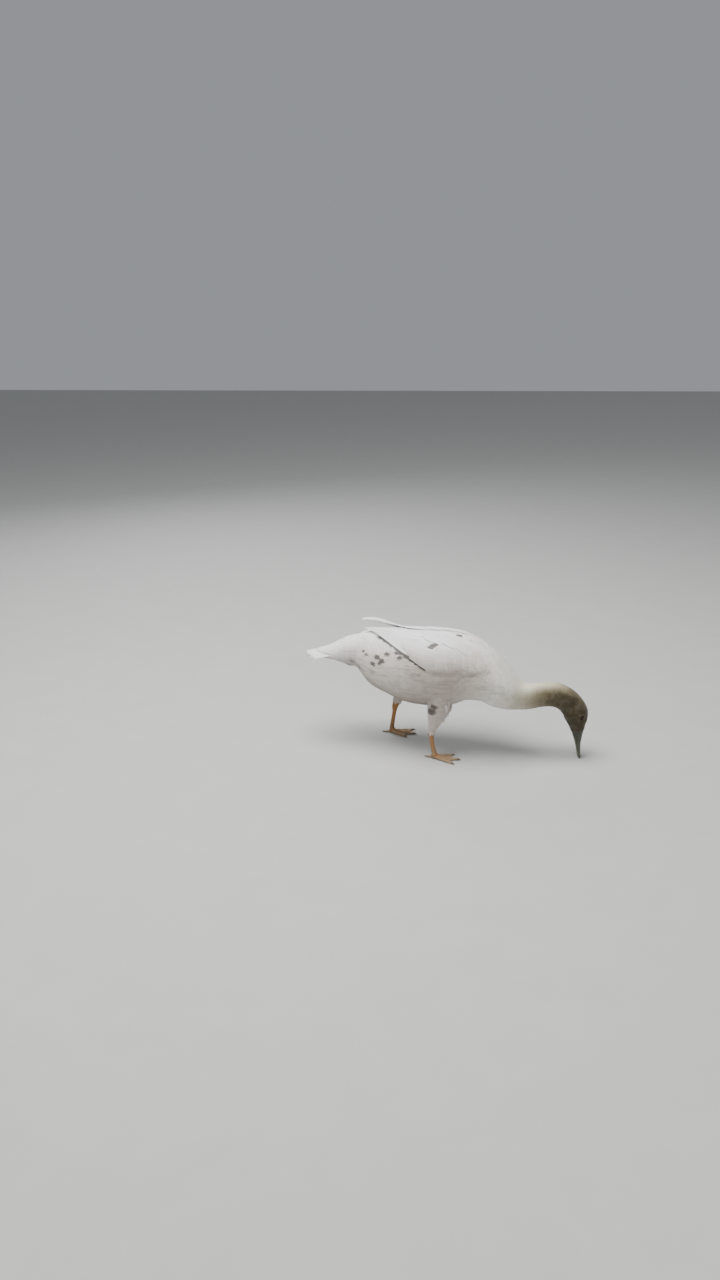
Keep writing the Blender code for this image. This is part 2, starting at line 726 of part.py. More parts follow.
WING_ROWS = (                # count, root and tip of the lowest and of the highest as x and angle,
    # then width, rise of root and tip off the flesh and of each over the one below, bow, rows
    (4, (0.074, 61), (0.040, 71), (0.066, 40), (0.030, 32), 20.0, -1.5, 0.9, 0.0, 0, 4),
    (5, (0.054, 73), (0.014, 79), (0.046, 31), (0.004, 24), 20.0, -1.5, 0.9, 0.0, 0, 4),
    (5, (0.030, 78), (-0.016, 77), (0.022, 28), (-0.032, 24), 19.0, -1.5, 0.9, 0.0, 0, 4),
    (5, (0.006, 78), (-0.052, 54), (-0.008, 34), (-0.090, 22), 17.5, -1.5, 1.0, 0.0, 2, 4),
    (5, (-0.030, 63), (-0.151, 7.5), (-0.045, 40), (-0.108, 13), 12.0, -1.4, 0.6, 0.95, 6, 5),
    (3, (0.002, 27), (-0.094, 18), (-0.008, 18), (-0.080, 9.5), 15.0, -1.5, 2.6, 0.0, 0, 4),
    (2, (0.026, 29), (-0.026, 21), (0.018, 21), (-0.034, 14), 19.0, -1.4, 3.2, 0.0, 0, 4),
    (2, (0.060, 37), (0.012, 27), (0.052, 29), (0.004, 19), 18.0, -1.4, 1.6, 0.0, 0, 4),
)
LEAN = 0.085                 # slope of a vane across its width, so that each covers the next
TIP_LIFT = {"left": 0.022, "right": 0.008}   # the left wing's tip is held over the right one's


def wing_edges(x):
    """The wing's upper and lower edge at that x, in degrees."""
    rows = sorted(WING_OUTLINE)
    places = [row[0] for row in rows]
    return (float(np.interp(x, places, [row[1] for row in rows])),
            float(np.interp(x, places, [row[2] for row in rows])))


def pad_height(x, angle):
    """How far the wing's flesh stands off the body at x and an angle in degrees."""
    high, low = wing_edges(x)
    share = (angle - high) / (low - high)
    dome = math.sqrt(max(0.0, 1 - abs(2 * share - 1) ** 4)) if 0 < share < 1 else 0.0
    return float(np.interp(x, [row[0] for row in PAD_RISE], [row[1] for row in PAD_RISE])) * dome


def tip_lift(name, x):
    """How far the wing is raised off the rump at that x."""
    return TIP_LIFT[name] * max(0.0, (-0.080 - x) / 0.070) ** 1.5


def make_wing_pad(name, home):
    """The wing's flesh: a domed pad whose underside is inside the body until it is carved."""
    side = 1 if name == "left" else -1
    bm = bmesh.new()
    outer, inner = [], []
    front = WING_OUTLINE[0][0]
    for i in range(PAD_ROWS):
        x = front + (PAD_REAR - front) * i / (PAD_ROWS - 1)
        high, low = wing_edges(x)
        high, low = high + PAD_OVERLAP[0], low - PAD_OVERLAP[1]
        outer.append([])
        inner.append([])
        for j in range(PAD_COLUMNS):
            angle = high + (low - high) * j / (PAD_COLUMNS - 1)
            turn = side * math.radians(angle)
            top = max(pad_height(x, angle), PAD_LEAST)
            outer[-1].append(bm.verts.new(off_skin(SPINE, x, turn, top)[0]))
            inner[-1].append(bm.verts.new(off_skin(SPINE, x, turn, -PAD_SUNK)[0]))
    for i in range(PAD_ROWS - 1):
        for j in range(PAD_COLUMNS - 1):
            for grid in (outer, inner):
                bm.faces.new((grid[i][j], grid[i][j + 1], grid[i + 1][j + 1]))
                bm.faces.new((grid[i][j], grid[i + 1][j + 1], grid[i + 1][j]))
        for j in (0, PAD_COLUMNS - 1):
            bm.faces.new((outer[i][j], outer[i + 1][j], inner[i + 1][j], inner[i][j]))
    for i in (0, PAD_ROWS - 1):
        for j in range(PAD_COLUMNS - 1):
            bm.faces.new((outer[i][j], outer[i][j + 1], inner[i][j + 1], inner[i][j]))
    return mesh_object("wing_" + name, bm, home)


def make_wing(name, home, cutters):
    """A folded wing: rows of coverts, secondaries, primaries, tertials and scapulars."""
    side = 1 if name == "left" else -1
    random = Random(7)
    wing = make_wing_pad(name, home)
    vanes = []
    for count, root_low, tip_low, root_high, tip_high, *shape in WING_ROWS:
        width, sunk, raised, step, bow, rows = shape
        for i in range(count):
            share = i / (count - 1)
            root = tuple(a + (b - a) * share for a, b in zip(root_low, root_high))
            tip = tuple(a + (b - a) * share for a, b in zip(tip_low, tip_high))
            tip = (tip[0] + random.uniform(-0.0015, 0.0015), tip[1] + random.uniform(-0.4, 0.4))

            def height(t, x, angle, i=i):
                stand = sunk + (raised - sunk) * t + step * i * min(1.0, 1.6 * t)
                return pad_height(x, angle) + tip_lift(name, x) + stand / 1000

            wide = width / 1000 * random.uniform(0.95, 1.05)
            vanes.append(lay_vane(cutters, SPINE, side, root, tip, wide, height,
                                  LEAN * wide / 2, rows, 0.6, bow))
    fuse(wing, vanes)
    carve(wing, torso_cutter(cutters))


TAIL_SECTIONS = (            # x, z, up, down and half width in millimetres
    (-0.156, 0.1870, 20, 20, 26),
    (-0.168, 0.1890, 33, 30, 38),
    (-0.180, 0.1880, 30, 29, 37),
    (-0.198, 0.1840, 27, 18, 34),
    (-0.216, 0.1805, 20, 9, 30),
    (-0.236, 0.1785, 13, 4, 24),
    (-0.256, 0.1770, 8, 2.5, 16),
    (-0.2726, 0.1770, 3, 1.5, 6),
)
TAIL_PAD = (
    (-0.156, 0.1870, 20, 20, 26),
    (-0.168, 0.1890, 31, 28.5, 36),
    (-0.180, 0.1880, 27, 26, 34),
    (-0.198, 0.1835, 22, 14, 29),
    (-0.212, 0.1810, 14, 7, 23),
    (-0.224, 0.1795, 6, 4, 15),
)
TAIL_FEATHERS = 9
TAIL_FAN = 5.7               # degrees between two of them
TAIL_LENGTH = 0.084          # of the middle feather, from where it leaves the rump
TAIL_ROOT = (-0.1890, 0.1835)    # x and z of the fan's root
TAIL_FALL = 0.076            # slope of the fan from its root down to its tip
TAIL_STACK = 0.00115         # each feather lies this far under its inner neighbour at the tip
TAIL_WIDTH = 0.0195


def tail_keys(sections):
    return np.array([(x, 0.0, z, 0.0, 0.0, up / 1000, down / 1000, half / 1000)
                     for x, z, up, down, half in sections])


def make_tail_feather(home, i):
    """One of the fan's long feathers: the middle one on top, the others lower to each side."""
    turn = math.radians(TAIL_FAN * i)
    length = TAIL_LENGTH * (1 - 0.065 * abs(i))
    outer_edge = 1 if i > 0 else -1 if i < 0 else 0
    side = Vector((math.sin(turn), math.cos(turn), 0.0))
    out = Vector((TAIL_FALL, 0.0, 1.0)).normalized()
    rows = []
    for t in VANE_STEPS[5]:
        reach = length * t
        place = Vector((TAIL_ROOT[0] - math.cos(turn) * reach,
                        0.0034 * i + math.sin(turn) * reach,
                        TAIL_ROOT[1] - TAIL_FALL * reach - TAIL_STACK * abs(i) * (0.4 + 0.6 * t)))
        half = TAIL_WIDTH * vane_width(t, 0.55) / 2
        row = []
        for share in (-1, 0, 1):
            drop = 0.05 * half * share * outer_edge + 0.0004 * abs(share)
            row.append((place + side * (half * share) - out * drop, out,
                        VANE_THICK * (1.0 if share == 0 else VANE_EDGE)))
        rows.append(row)
    return mesh_object("vane", vane_mesh(rows), home)


TAIL_COVERTS = (             # count, first and last angle, root x, tip x, width, sunk, raised
    (4, -38, 38, -0.1860, -0.2360, 19.0, -3.8, 0.4),
    (5, -60, 60, -0.1640, -0.2120, 23.0, -3.6, 1.4),
    (3, 156, 204, -0.1840, -0.2280, 17.0, -3.4, 0.4),
    (4, 122, 238, -0.1640, -0.2060, 26.0, -3.2, 0.6),
)
TAIL_PAD_STEPS, TAIL_PAD_SIDES = 6, 16


def make_tail(home, cutters):
    """The tail: a fan of long feathers with coverts over and under their roots."""
    random = Random(11)
    guide = tail_keys(TAIL_SECTIONS)
    pad = tail_keys(TAIL_PAD)
    tail = mesh_object("tail", stretch(pad, 0, len(pad) - 1, TAIL_PAD_STEPS, TAIL_PAD_SIDES), home)
    half_fan = TAIL_FEATHERS // 2
    vanes = [make_tail_feather(cutters, i) for i in range(-half_fan, half_fan + 1)]
    for count, first, last, root_x, tip_x, width, sunk, raised in TAIL_COVERTS:
        middle = (first + last) / 2
        for i in range(count):
            angle = first + (last - first) * i / (count - 1)
            tip_angle = middle + (angle - middle) * 0.92
            end = tip_x + 0.010 * abs(2 * i / (count - 1) - 1) + random.uniform(-0.0015, 0.0015)
            stagger = 1.0 * (i % 2)

            def height(t, x, turn, stagger=stagger):
                return (sunk + (raised - sunk) * t + stagger * min(1.0, 2 * t)) / 1000

            vanes.append(lay_vane(cutters, guide, 1, (root_x, angle), (end, tip_angle),
                                  width / 1000, height, 0.0, 4, 0.55))
    fuse(tail, vanes)
    carve(tail, torso_cutter(cutters))


def main():
    clear_scene()
    home = collection("indian_runner_duck")
    cutters = collection("cutters")
    make_torso(home)
    make_neck(home)
    make_head(home, cutters)
    make_bill(home, cutters)
    make_tail(home, cutters)
    for name in ("left", "right"):
        make_wing(name, home, cutters)
        make_leg(name, home, cutters)
        make_foot(name, home, cutters)
    looks = {
        "torso": material("body_feathers", (0.62, 0.60, 0.55), 0.85),
        "neck": material("neck_feathers", (0.35, 0.32, 0.25), 0.85),
        "head": material("head_feathers", (0.10, 0.08, 0.05), 0.80),
        "wing": material("wing_feathers", (0.75, 0.75, 0.73), 0.75),
        "tail": material("tail_feathers", (0.72, 0.73, 0.70), 0.75),
        "thigh": material("thigh_feathers", (0.55, 0.53, 0.48), 0.85),
        "bill": material("bill_horn", (0.05, 0.06, 0.04), 0.40),
        "eye": material("eye", (0.02, 0.012, 0.008), 0.08),
        "shank": material("leg_skin", (0.42, 0.20, 0.06), 0.50),
        "foot": material("foot_skin", (0.45, 0.22, 0.07), 0.50),
        "claw": material("claw_horn", (0.10, 0.08, 0.06), 0.45),
    }
    for made in home.objects:
        dress(made, looks[made.name.split("_")[0]])
    bpy.data.collections.remove(cutters)


if __name__ == "__main__":
    main()
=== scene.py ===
# %% [markdown]
# # An indian runner duck, grazing
# A still, life-size bird: pale silver plumage, a dark brown head, and a neck that reaches
# forward and down until the bill touches the floor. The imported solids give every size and
# place, and this file dresses them: a skin, feathers laid over it one by one, bill, eyes, feet.
# The solids are loaded first, because every later cell is measured from them.

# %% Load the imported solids
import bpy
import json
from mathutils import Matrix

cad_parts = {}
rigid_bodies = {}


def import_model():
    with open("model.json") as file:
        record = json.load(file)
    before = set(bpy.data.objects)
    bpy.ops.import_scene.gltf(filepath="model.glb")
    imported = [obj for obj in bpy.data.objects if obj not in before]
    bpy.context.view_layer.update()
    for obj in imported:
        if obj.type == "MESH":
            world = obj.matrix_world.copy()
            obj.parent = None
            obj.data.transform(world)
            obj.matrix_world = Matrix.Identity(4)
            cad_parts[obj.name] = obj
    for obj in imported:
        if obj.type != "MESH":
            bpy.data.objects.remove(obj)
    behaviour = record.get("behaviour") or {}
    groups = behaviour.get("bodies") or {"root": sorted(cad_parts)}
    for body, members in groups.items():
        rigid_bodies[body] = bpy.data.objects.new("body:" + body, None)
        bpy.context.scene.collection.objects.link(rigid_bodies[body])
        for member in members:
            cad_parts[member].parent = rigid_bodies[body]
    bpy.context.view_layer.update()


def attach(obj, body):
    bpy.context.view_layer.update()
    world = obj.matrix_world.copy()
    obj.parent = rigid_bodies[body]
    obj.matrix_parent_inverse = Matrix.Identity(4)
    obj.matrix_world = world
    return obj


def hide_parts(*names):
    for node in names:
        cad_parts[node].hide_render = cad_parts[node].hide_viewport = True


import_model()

import json
import math

import bmesh
import bpy
import numpy as np
from mathutils import Matrix, Vector, kdtree
from mathutils.bvhtree import BVHTree

TURN = 2 * math.pi

# %% [markdown]
# ## The spine
# A bird's body, neck and head are one bent, tapering tube. It could be sculpted, but a table of
# cross sections along a spine is easier to set from a photograph and from the breed's sizes.
# Each section has a place, a pitch, and its reach up, down and to each side. A smooth curve runs
# through the sections, and the result is sampled as a fine grid of points and ways out, so that
# a feather can be laid at any place along the body and any angle round it.

# %% Sections of the body
BODY_DEPTH, BODY_WIDTH = 0.147, 0.140
NECK_THICK = 0.047
HEAD_HEIGHT, HEAD_WIDTH = 0.046, 0.037
HEAD_TWIST = 14              # degrees that the crown turns to the bird's left
HEAD_SIDE = 0.020
BILL_PITCH = 84
BILL_BASE = (0.2535, 0.0565)
BILL_LENGTH = 0.058
TAIL_FLESH = (               # x, z, then up, down and half width in millimetres
    (-0.226, 0.1800, 5, 3.5, 12),
    (-0.212, 0.1810, 13, 7, 22),
    (-0.198, 0.1835, 21, 14, 28.5),
    (-0.183, 0.1878, 27, 23, 33.5),
)
TORSO = (                    # x, z, pitch, then up, down and half width as shares of the body
    (-0.168, 0.190, 0, 0.21, 0.19, 0.25),
    (-0.138, 0.181, 0, 0.36, 0.37, 0.38),
    (-0.105, 0.175, 0, 0.42, 0.44, 0.45),
    (-0.065, 0.169, 0, 0.46, 0.50, 0.49),
    (-0.020, 0.167, 0, 0.48, 0.505, 0.50),
    (0.023, 0.167, 0, 0.47, 0.465, 0.49),
    (0.056, 0.164, 5, 0.43, 0.365, 0.46),
    (0.086, 0.157, 11, 0.355, 0.33, 0.41),
    (0.112, 0.147, 17, 0.25, 0.335, 0.35),
    (0.134, 0.135, 18, 0.175, 0.285, 0.28),
    (0.152, 0.1265, 10, 0.14, 0.21, 0.21),
)
NECK = (                     # the same, as shares of the neck's thickness
    (0.169, 0.1235, 0, 0.49, 0.53, 0.52),
    (0.187, 0.1260, -2, 0.50, 0.50, 0.50),
    (0.206, 0.1268, 9, 0.50, 0.50, 0.49),
    (0.2195, 0.1225, 23, 0.49, 0.49, 0.48),
    (0.2320, 0.1145, 38, 0.49, 0.48, 0.47),
)
HEAD = (                     # behind the bill's base, towards the crown, pitch, up, down, half
    (0.0485, -0.0068, 54, 0.50, 0.50, 0.49),
    (0.0370, -0.0010, 68, 0.505, 0.50, 0.505),
    (0.0270, 0.0003, 78, 0.485, 0.48, 0.49),
    (0.0170, 0.0004, 84, 0.43, 0.405, 0.44),
    (0.0080, 0.0002, 84, 0.355, 0.315, 0.375),
    (0.0000, 0.0000, 84, 0.30, 0.255, 0.325),
    (-0.0070, -0.0001, 84, 0.250, 0.210, 0.288),
)
TORSO_FIRST = len(TAIL_FLESH)
NECK_FIRST = TORSO_FIRST + len(TORSO) - 1
HEAD_FIRST = NECK_FIRST + len(NECK)
BODY_LAST = HEAD_FIRST + len(HEAD)
HEAD_END = BODY_LAST - 1     # the bill's base, where the skin ends


def bill_axes():
    """The middle of the bill's base, and the directions to its tip, the crown and its left."""
    pitch, twist = math.radians(BILL_PITCH), math.radians(HEAD_TWIST)
    tip = Vector((math.cos(pitch), 0, -math.sin(pitch)))
    upright = Vector((math.sin(pitch), 0, math.cos(pitch)))
    left = Vector((0, 1, 0))
    crown = upright * math.cos(twist) + left * math.sin(twist)
    side = left * math.cos(twist) - upright * math.sin(twist)
    return Vector((BILL_BASE[0], HEAD_SIDE, BILL_BASE[1])), tip, upright, crown, side


BILL_ORIGIN, TO_TIP, UPRIGHT, TO_CROWN, TO_SIDE = bill_axes()


def head_place(back, rise, side=0.0):
    return BILL_ORIGIN - TO_TIP * back + TO_CROWN * rise + TO_SIDE * side


SWING_LEAD = 0.3             # how early the neck starts to swing aside, in sections


def body_keys():
    """Every section from tail to bill: x, y, z, pitch, twist, up, down and half width."""
    rows = [(x, 0, z, 0, 0, up / 1000, down / 1000, half / 1000)
            for x, z, up, down, half in TAIL_FLESH]
    rows += [(x, 0, z, pitch, 0, up * BODY_DEPTH, down * BODY_DEPTH, half * BODY_WIDTH)
             for x, z, pitch, up, down, half in TORSO]
    for i, (x, z, pitch, up, down, half) in enumerate(NECK):
        share = (i + SWING_LEAD) / len(NECK)
        rows.append((x, HEAD_SIDE * share, z, pitch, HEAD_TWIST * share**2,
                     up * NECK_THICK, down * NECK_THICK, half * NECK_THICK))
    for back, rise, pitch, up, down, half in HEAD:
        place = BILL_ORIGIN - TO_TIP * back + UPRIGHT * rise
        rows.append((*place, pitch, HEAD_TWIST,
                     up * HEAD_HEIGHT, down * HEAD_HEIGHT, half * HEAD_WIDTH))
    return np.array(rows)


print("sections from tail to bill:", len(body_keys()))

# %% Smooth grids of skin
GRID_ALONG, GRID_AROUND = 720, 180


def smooth_rows(keys, at):
    """Rows between the key rows, on a smooth curve through each of them."""
    last = len(keys) - 1
    i = np.clip(np.floor(at).astype(int), 0, last - 1)
    t = (at - i)[:, None]
    ends = np.vstack([2 * keys[0] - keys[1], keys, 2 * keys[-1] - keys[-2]])
    p0, p1, p2, p3 = (ends[i + k] for k in range(4))
    return 0.5 * (2 * p1 + (p2 - p0) * t + (2 * p0 - 5 * p1 + 4 * p2 - p3) * t**2
                  + (3 * p1 - p0 - 3 * p2 + p3) * t**3)


def ways_out(points, centre):
    """Each grid point's way out of the skin, and the metres in one step along and around."""
    along = np.gradient(points, axis=0)
    around = (np.roll(points, -1, axis=1) - np.roll(points, 1, axis=1)) / 2
    out = np.cross(around, along)
    out /= np.linalg.norm(out, axis=2, keepdims=True) + 1e-12
    out *= np.where(np.sum(out * (points - centre[:, None]), axis=2) < 0, -1, 1)[..., None]
    return out, np.linalg.norm(along, axis=2), np.linalg.norm(around, axis=2)


def limb(keys, way, relief=None):
    """A body part's skin as a grid. way is the lie of its feathers: -1 towards its start."""
    at = np.linspace(0, len(keys) - 1, GRID_ALONG)
    angle = np.arange(GRID_AROUND) / GRID_AROUND * TURN
    rows = smooth_rows(keys, at)
    pitch, twist = np.radians(rows[:, 3])[:, None], np.radians(rows[:, 4])[:, None]
    upright = np.hstack([np.sin(pitch), 0 * pitch, np.cos(pitch)])
    left = np.array([[0.0, 1.0, 0.0]])
    dorsal = upright * np.cos(twist) + left * np.sin(twist)
    side = left * np.cos(twist) - upright * np.sin(twist)
    centre, up, down, half = rows[:, :3], rows[:, 5:6], rows[:, 6:7], rows[:, 7:8]
    reach = np.where(np.cos(angle) > 0, up, down) * np.cos(angle)
    points = (centre[:, None] + dorsal[:, None] * reach[..., None]
              + side[:, None] * (half * np.sin(angle))[..., None])
    out, along, around = ways_out(points, centre)
    if relief is not None:
        points = points + out * relief(rows[:, 0:1], np.degrees(angle))[..., None]
        out, along, around = ways_out(points, centre)
    return {"last": len(keys) - 1, "way": way, "x": rows[:, 0], "at": at, "points": points,
            "out": out, "per_at": along / (at[1] - at[0]),
            "per_turn": around / (TURN / GRID_AROUND)}


def spread_over(part, at, angle):
    """Where places fall on a grid, and how much of each neighbour they take."""
    u = np.clip(at / part["last"] * (GRID_ALONG - 1), 0, GRID_ALONG - 1.001)
    v = (angle / TURN % 1.0) * GRID_AROUND
    i, j = u.astype(int), v.astype(int) % GRID_AROUND
    return i, j, (j + 1) % GRID_AROUND, u - i, v - np.floor(v)


def on_skin(part, at, angle, height=0.0):
    """Points at a place along and an angle round a body part, raised along the way out."""
    at, angle, height = np.broadcast_arrays(np.asarray(at, float), angle, height)
    i, j, k, fu, fv = spread_over(part, at, angle)
    fu, fv = fu[..., None], fv[..., None]

    def mixed(grid):
        return ((grid[i, j] * (1 - fv) + grid[i, k] * fv) * (1 - fu)
                + (grid[i + 1, j] * (1 - fv) + grid[i + 1, k] * fv) * fu)

    out = mixed(part["out"])
    out /= np.linalg.norm(out, axis=-1, keepdims=True)
    return mixed(part["points"]) + out * height[..., None]


def metres_at(part, at, angle):
    i, j, *_ = spread_over(part, at, angle)
    return part["per_at"][i, j], part["per_turn"][i, j]


# %% [markdown]
# ## The folded wings as relief
# A folded wing is a flat pad of flesh and bone against the body. It could be its own object,
# but the body's skin simply swells there, so the pad is added to the grid as a relief. The
# feathers of breast and flank then climb onto it as they do on the bird. The bill's base is
# fuller at its corners than an oval section, so the grid swells there as well.

# %% Wing pads
WING_OUTLINE = (             # x, upper edge and lower edge as degrees from the middle of the back
    (0.084, 50, 62), (0.074, 38, 72), (0.050, 26, 80), (0.024, 18, 84), (-0.002, 13, 84),
    (-0.021, 11, 78), (-0.044, 9, 62), (-0.070, 7, 45), (-0.096, 5, 29), (-0.125, 3, 17),
    (-0.150, 2, 10),
)
PAD_RISE = (                 # x and how far the wing stands off the body, rear first
    (-0.100, 0.0), (-0.060, 0.0020), (-0.020, 0.0036), (0.020, 0.0048),
    (0.050, 0.0046), (0.074, 0.0030), (0.092, 0.0),
)


def wing_share(x, degrees):
    """How far down the wing a place lies: 0 at its upper edge and 1 at its lower one."""
    rows = np.array(sorted(WING_OUTLINE))
    high, low = (np.interp(x, rows[:, 0], rows[:, k]) for k in (1, 2))
    folded = np.abs((degrees + 180) % 360 - 180)
    return (folded - high) / (low - high)


def wing_relief(x, degrees):
    share = wing_share(x, degrees)
    dome = np.where((share > 0) & (share < 1), 1 - np.abs(2 * share - 1) ** 4, 0.0)
    rise = np.array(PAD_RISE)
    return np.interp(x, rise[:, 0], rise[:, 1]) * dome


def place_of(x):
    """The place along the level part of the body where its middle has that x."""
    level = int(GRID_ALONG * NECK_FIRST / BODY_LAST)
    return np.interp(x, BODY["x"][:level], BODY["at"][:level])


CORNER_RISE, CORNER_SINK = 0.0006, 0.0002
CORNER_SECTIONS = (-0.15, 0.15)      # from the bill's base, where the corners swell
BODY = limb(body_keys(), -1, wing_relief)
on_bill = np.interp(BODY["at"] - HEAD_END, CORNER_SECTIONS, (0, 1))[:, None, None]
corners = np.abs(np.sin(2 * np.arange(GRID_AROUND) / GRID_AROUND * TURN))[None, :, None]
BODY["points"] += BODY["out"] * on_bill * (CORNER_RISE * corners - CORNER_SINK)
path = np.cumsum(np.r_[0, np.linalg.norm(np.diff(BODY["points"].mean(axis=1), axis=0), axis=1)])
BODY["share"] = path / path[-1]
print("path from tail to bill, metres:", round(float(path[-1]), 3))
for word, key in (("torso", TORSO_FIRST), ("neck", NECK_FIRST), ("head", HEAD_FIRST)):
    print(" ", word, "starts at share", round(float(np.interp(key, BODY["at"], BODY["share"])), 3))

# %% [markdown]
# ## Legs
# The thigh is feathered down to the hock, and the shank below it is bare. Both are bent tubes,
# like the body, so they use the same table of sections.

# %% Leg sections
FOOT_SPREAD = 0.050
ANKLE_X = {"left": -0.1145, "right": -0.006}
LEGS = {                     # x, share of the spread, z, pitch, front, back and half in millimetres
    "right": (
        (0.014, 0.60, 0.160, 92, 24, 24, 15),
        (0.006, 0.86, 0.132, 95, 23, 23, 17),
        (0.002, 0.96, 0.100, 97, 21, 21, 15.5),
        (-0.003, 1.00, 0.081, 99, 14.5, 15, 11.5),
        (-0.008, 1.00, 0.064, 97, 9, 9, 7.5),
        (-0.011, 1.00, 0.052, 92, 5.8, 6.2, 5.2),
        (-0.011, 1.00, 0.041, 87, 4.4, 4.6, 3.9),
        (-0.009, 1.00, 0.026, 83, 4.3, 4.4, 3.7),
        (-0.006, 1.00, 0.012, 84, 4.9, 5.0, 4.5),
    ),
    "left": (
        (-0.056, 0.60, 0.162, 112, 24, 24, 15),
        (-0.070, 0.85, 0.136, 115, 23, 23, 17),
        (-0.084, 0.95, 0.107, 115, 19, 19, 15),
        (-0.095, 1.00, 0.088, 113, 13, 13, 11),
        (-0.103, 1.00, 0.070, 108, 8.2, 8.4, 7.2),
        (-0.107, 1.00, 0.058, 102, 5.8, 6.2, 5.2),
        (-0.109, 1.00, 0.046, 98, 4.4, 4.6, 3.9),
        (-0.112, 1.00, 0.028, 98, 4.3, 4.4, 3.7),
        (-0.1145, 1.00, 0.012, 98, 4.9, 5.0, 4.5),
    ),
}
HOCK = 5
BARE_FROM = {"left": 4, "right": 5}     # the section where the bare skin starts
SIDES = {"left": 1, "right": -1}


def leg_keys(name):
    return np.array([(x, SIDES[name] * spread * FOOT_SPREAD, z, pitch, 0,
                      front / 1000, back / 1000, half / 1000)
                     for x, spread, z, pitch, front, back, half in LEGS[name]])


THIGHS = {name: limb(leg_keys(name)[:HOCK + 2], 1) for name in SIDES}
SHANKS = {name: limb(leg_keys(name)[BARE_FROM[name]:], 1) for name in SIDES}
print("legs:", ", ".join(sorted(THIGHS)))

# %% [markdown]
# ## Helpers for shapes
# A loft makes a closed tube: each ring is a circle that is moved onto its section, and bridges
# join the rings. It is the simplest operator for limbs, bill halves, toes and lids alike.

# %% Loft
def finish_mesh(name, bm, smooth=True):
    """A mesh object at the origin from a bmesh, its doubles merged and its faces outward."""
    bmesh.ops.remove_doubles(bm, verts=bm.verts, dist=1e-7)
    bmesh.ops.recalc_face_normals(bm, faces=bm.faces)
    mesh = bpy.data.meshes.new(name)
    bm.to_mesh(mesh)
    bm.free()
    if smooth:
        mesh.shade_smooth()
    made = bpy.data.objects.new(name, mesh)
    bpy.context.scene.collection.objects.link(made)
    return made


def add_loft(bm, rings, looped=False):
    """Adds a tube through rings of points to a bmesh, capped unless it closes on itself."""
    loops = []
    for ring in rings:
        verts = bmesh.ops.create_circle(bm, segments=len(ring), radius=1.0)["verts"]
        for vert, place in zip(verts, ring):
            vert.co = place
        loops.append(list({edge for vert in verts for edge in vert.link_edges}))
    pairs = list(zip(loops, loops[1:])) + ([(loops[-1], loops[0])] if looped else [])
    for near, far in pairs:
        bmesh.ops.bridge_loops(bm, edges=near + far)
    if not looped:
        for end in (loops[0], loops[-1]):
            bmesh.ops.edgeloop_fill(bm, edges=end)


def join_by_voxels(name, source, voxel, smoothings):
    """Melts overlapping closed meshes into one even skin, and relaxes it."""
    melt = source.modifiers.new("melt", "REMESH")
    melt.mode, melt.voxel_size = "VOXEL", voxel
    relax = source.modifiers.new("relax", "SMOOTH")
    relax.factor, relax.iterations = 0.5, smoothings
    graph = bpy.context.evaluated_depsgraph_get()
    mesh = bpy.data.meshes.new_from_object(source.evaluated_get(graph))
    bpy.data.objects.remove(source, do_unlink=True)
    mesh.name = name
    mesh.shade_smooth()
    made = bpy.data.objects.new(name, mesh)
    bpy.context.scene.collection.objects.link(made)
    return made


# %% [markdown]
# ## The skin
# Under the feathers lies one skin, from tail to bill and down both thighs. It lies inside the
# solids by the depth of the plumage: about 3 mm on the body, and a hair's breadth at the bill.
# Body, thighs and the wedge inside the tail fan are lofts that cross each other. A Boolean would
# leave a hard seam in the groin, so they are melted together by a voxel remesh, which also gives
# even faces. The crease that is left between trunk and thigh is then smoothed into a hollow.

# %% Skin
PLUMAGE_DEPTH = (            # share of the path from tail to bill, and depth in millimetres
    (0.0, 1.6), (0.06, 2.4), (0.12, 3.0), (0.60, 3.0), (0.72, 2.2), (0.86, 1.6), (0.93, 1.0),
    (0.97, 0.6), (1.0, 0.25),
)
THIGH_DEPTH = ((1.0, 3.8, HOCK), (0.0024, 0.0018, 0.0026))     # sections, and metres
TAIL_GUIDE = (               # x, z, up, down and half width in millimetres
    (-0.2726, 0.1770, 3.5, 1.5, 8), (-0.256, 0.1770, 8.5, 2.5, 17), (-0.236, 0.1785, 13, 4, 24),
    (-0.216, 0.1805, 20, 9, 30), (-0.198, 0.1840, 27, 18, 34), (-0.180, 0.1880, 30, 29, 37),
    (-0.168, 0.1890, 32, 29.5, 37.5), (-0.156, 0.1870, 38, 37, 43), (-0.144, 0.1838, 44, 44.5, 48),
)
WEDGE_SECTIONS, WEDGE_RINGS, WEDGE_SIDES = (1.7, 5.5), 26, 40
WEDGE_DEPTH, WEDGE_DEPTH_ABOVE = 0.0030, 0.0020
SKIN_RINGS, SKIN_SIDES, THIGH_RINGS, THIGH_SIDES = 110, 72, 36, 36
SKIN_VOXEL, SKIN_SMOOTHINGS = 0.0021, 4


def by_share(table, at):
    """A value from a table of (share, value), at places along the body."""
    rows = np.array(table)
    return np.interp(np.interp(at, BODY["at"], BODY["share"]), rows[:, 0], rows[:, 1])


def skin_rings(part, start, end, count, sides, depth):
    angle = np.arange(sides) / sides * TURN
    return [on_skin(part, at, angle, -float(depth(at)))
            for at in np.linspace(start, end, count)]


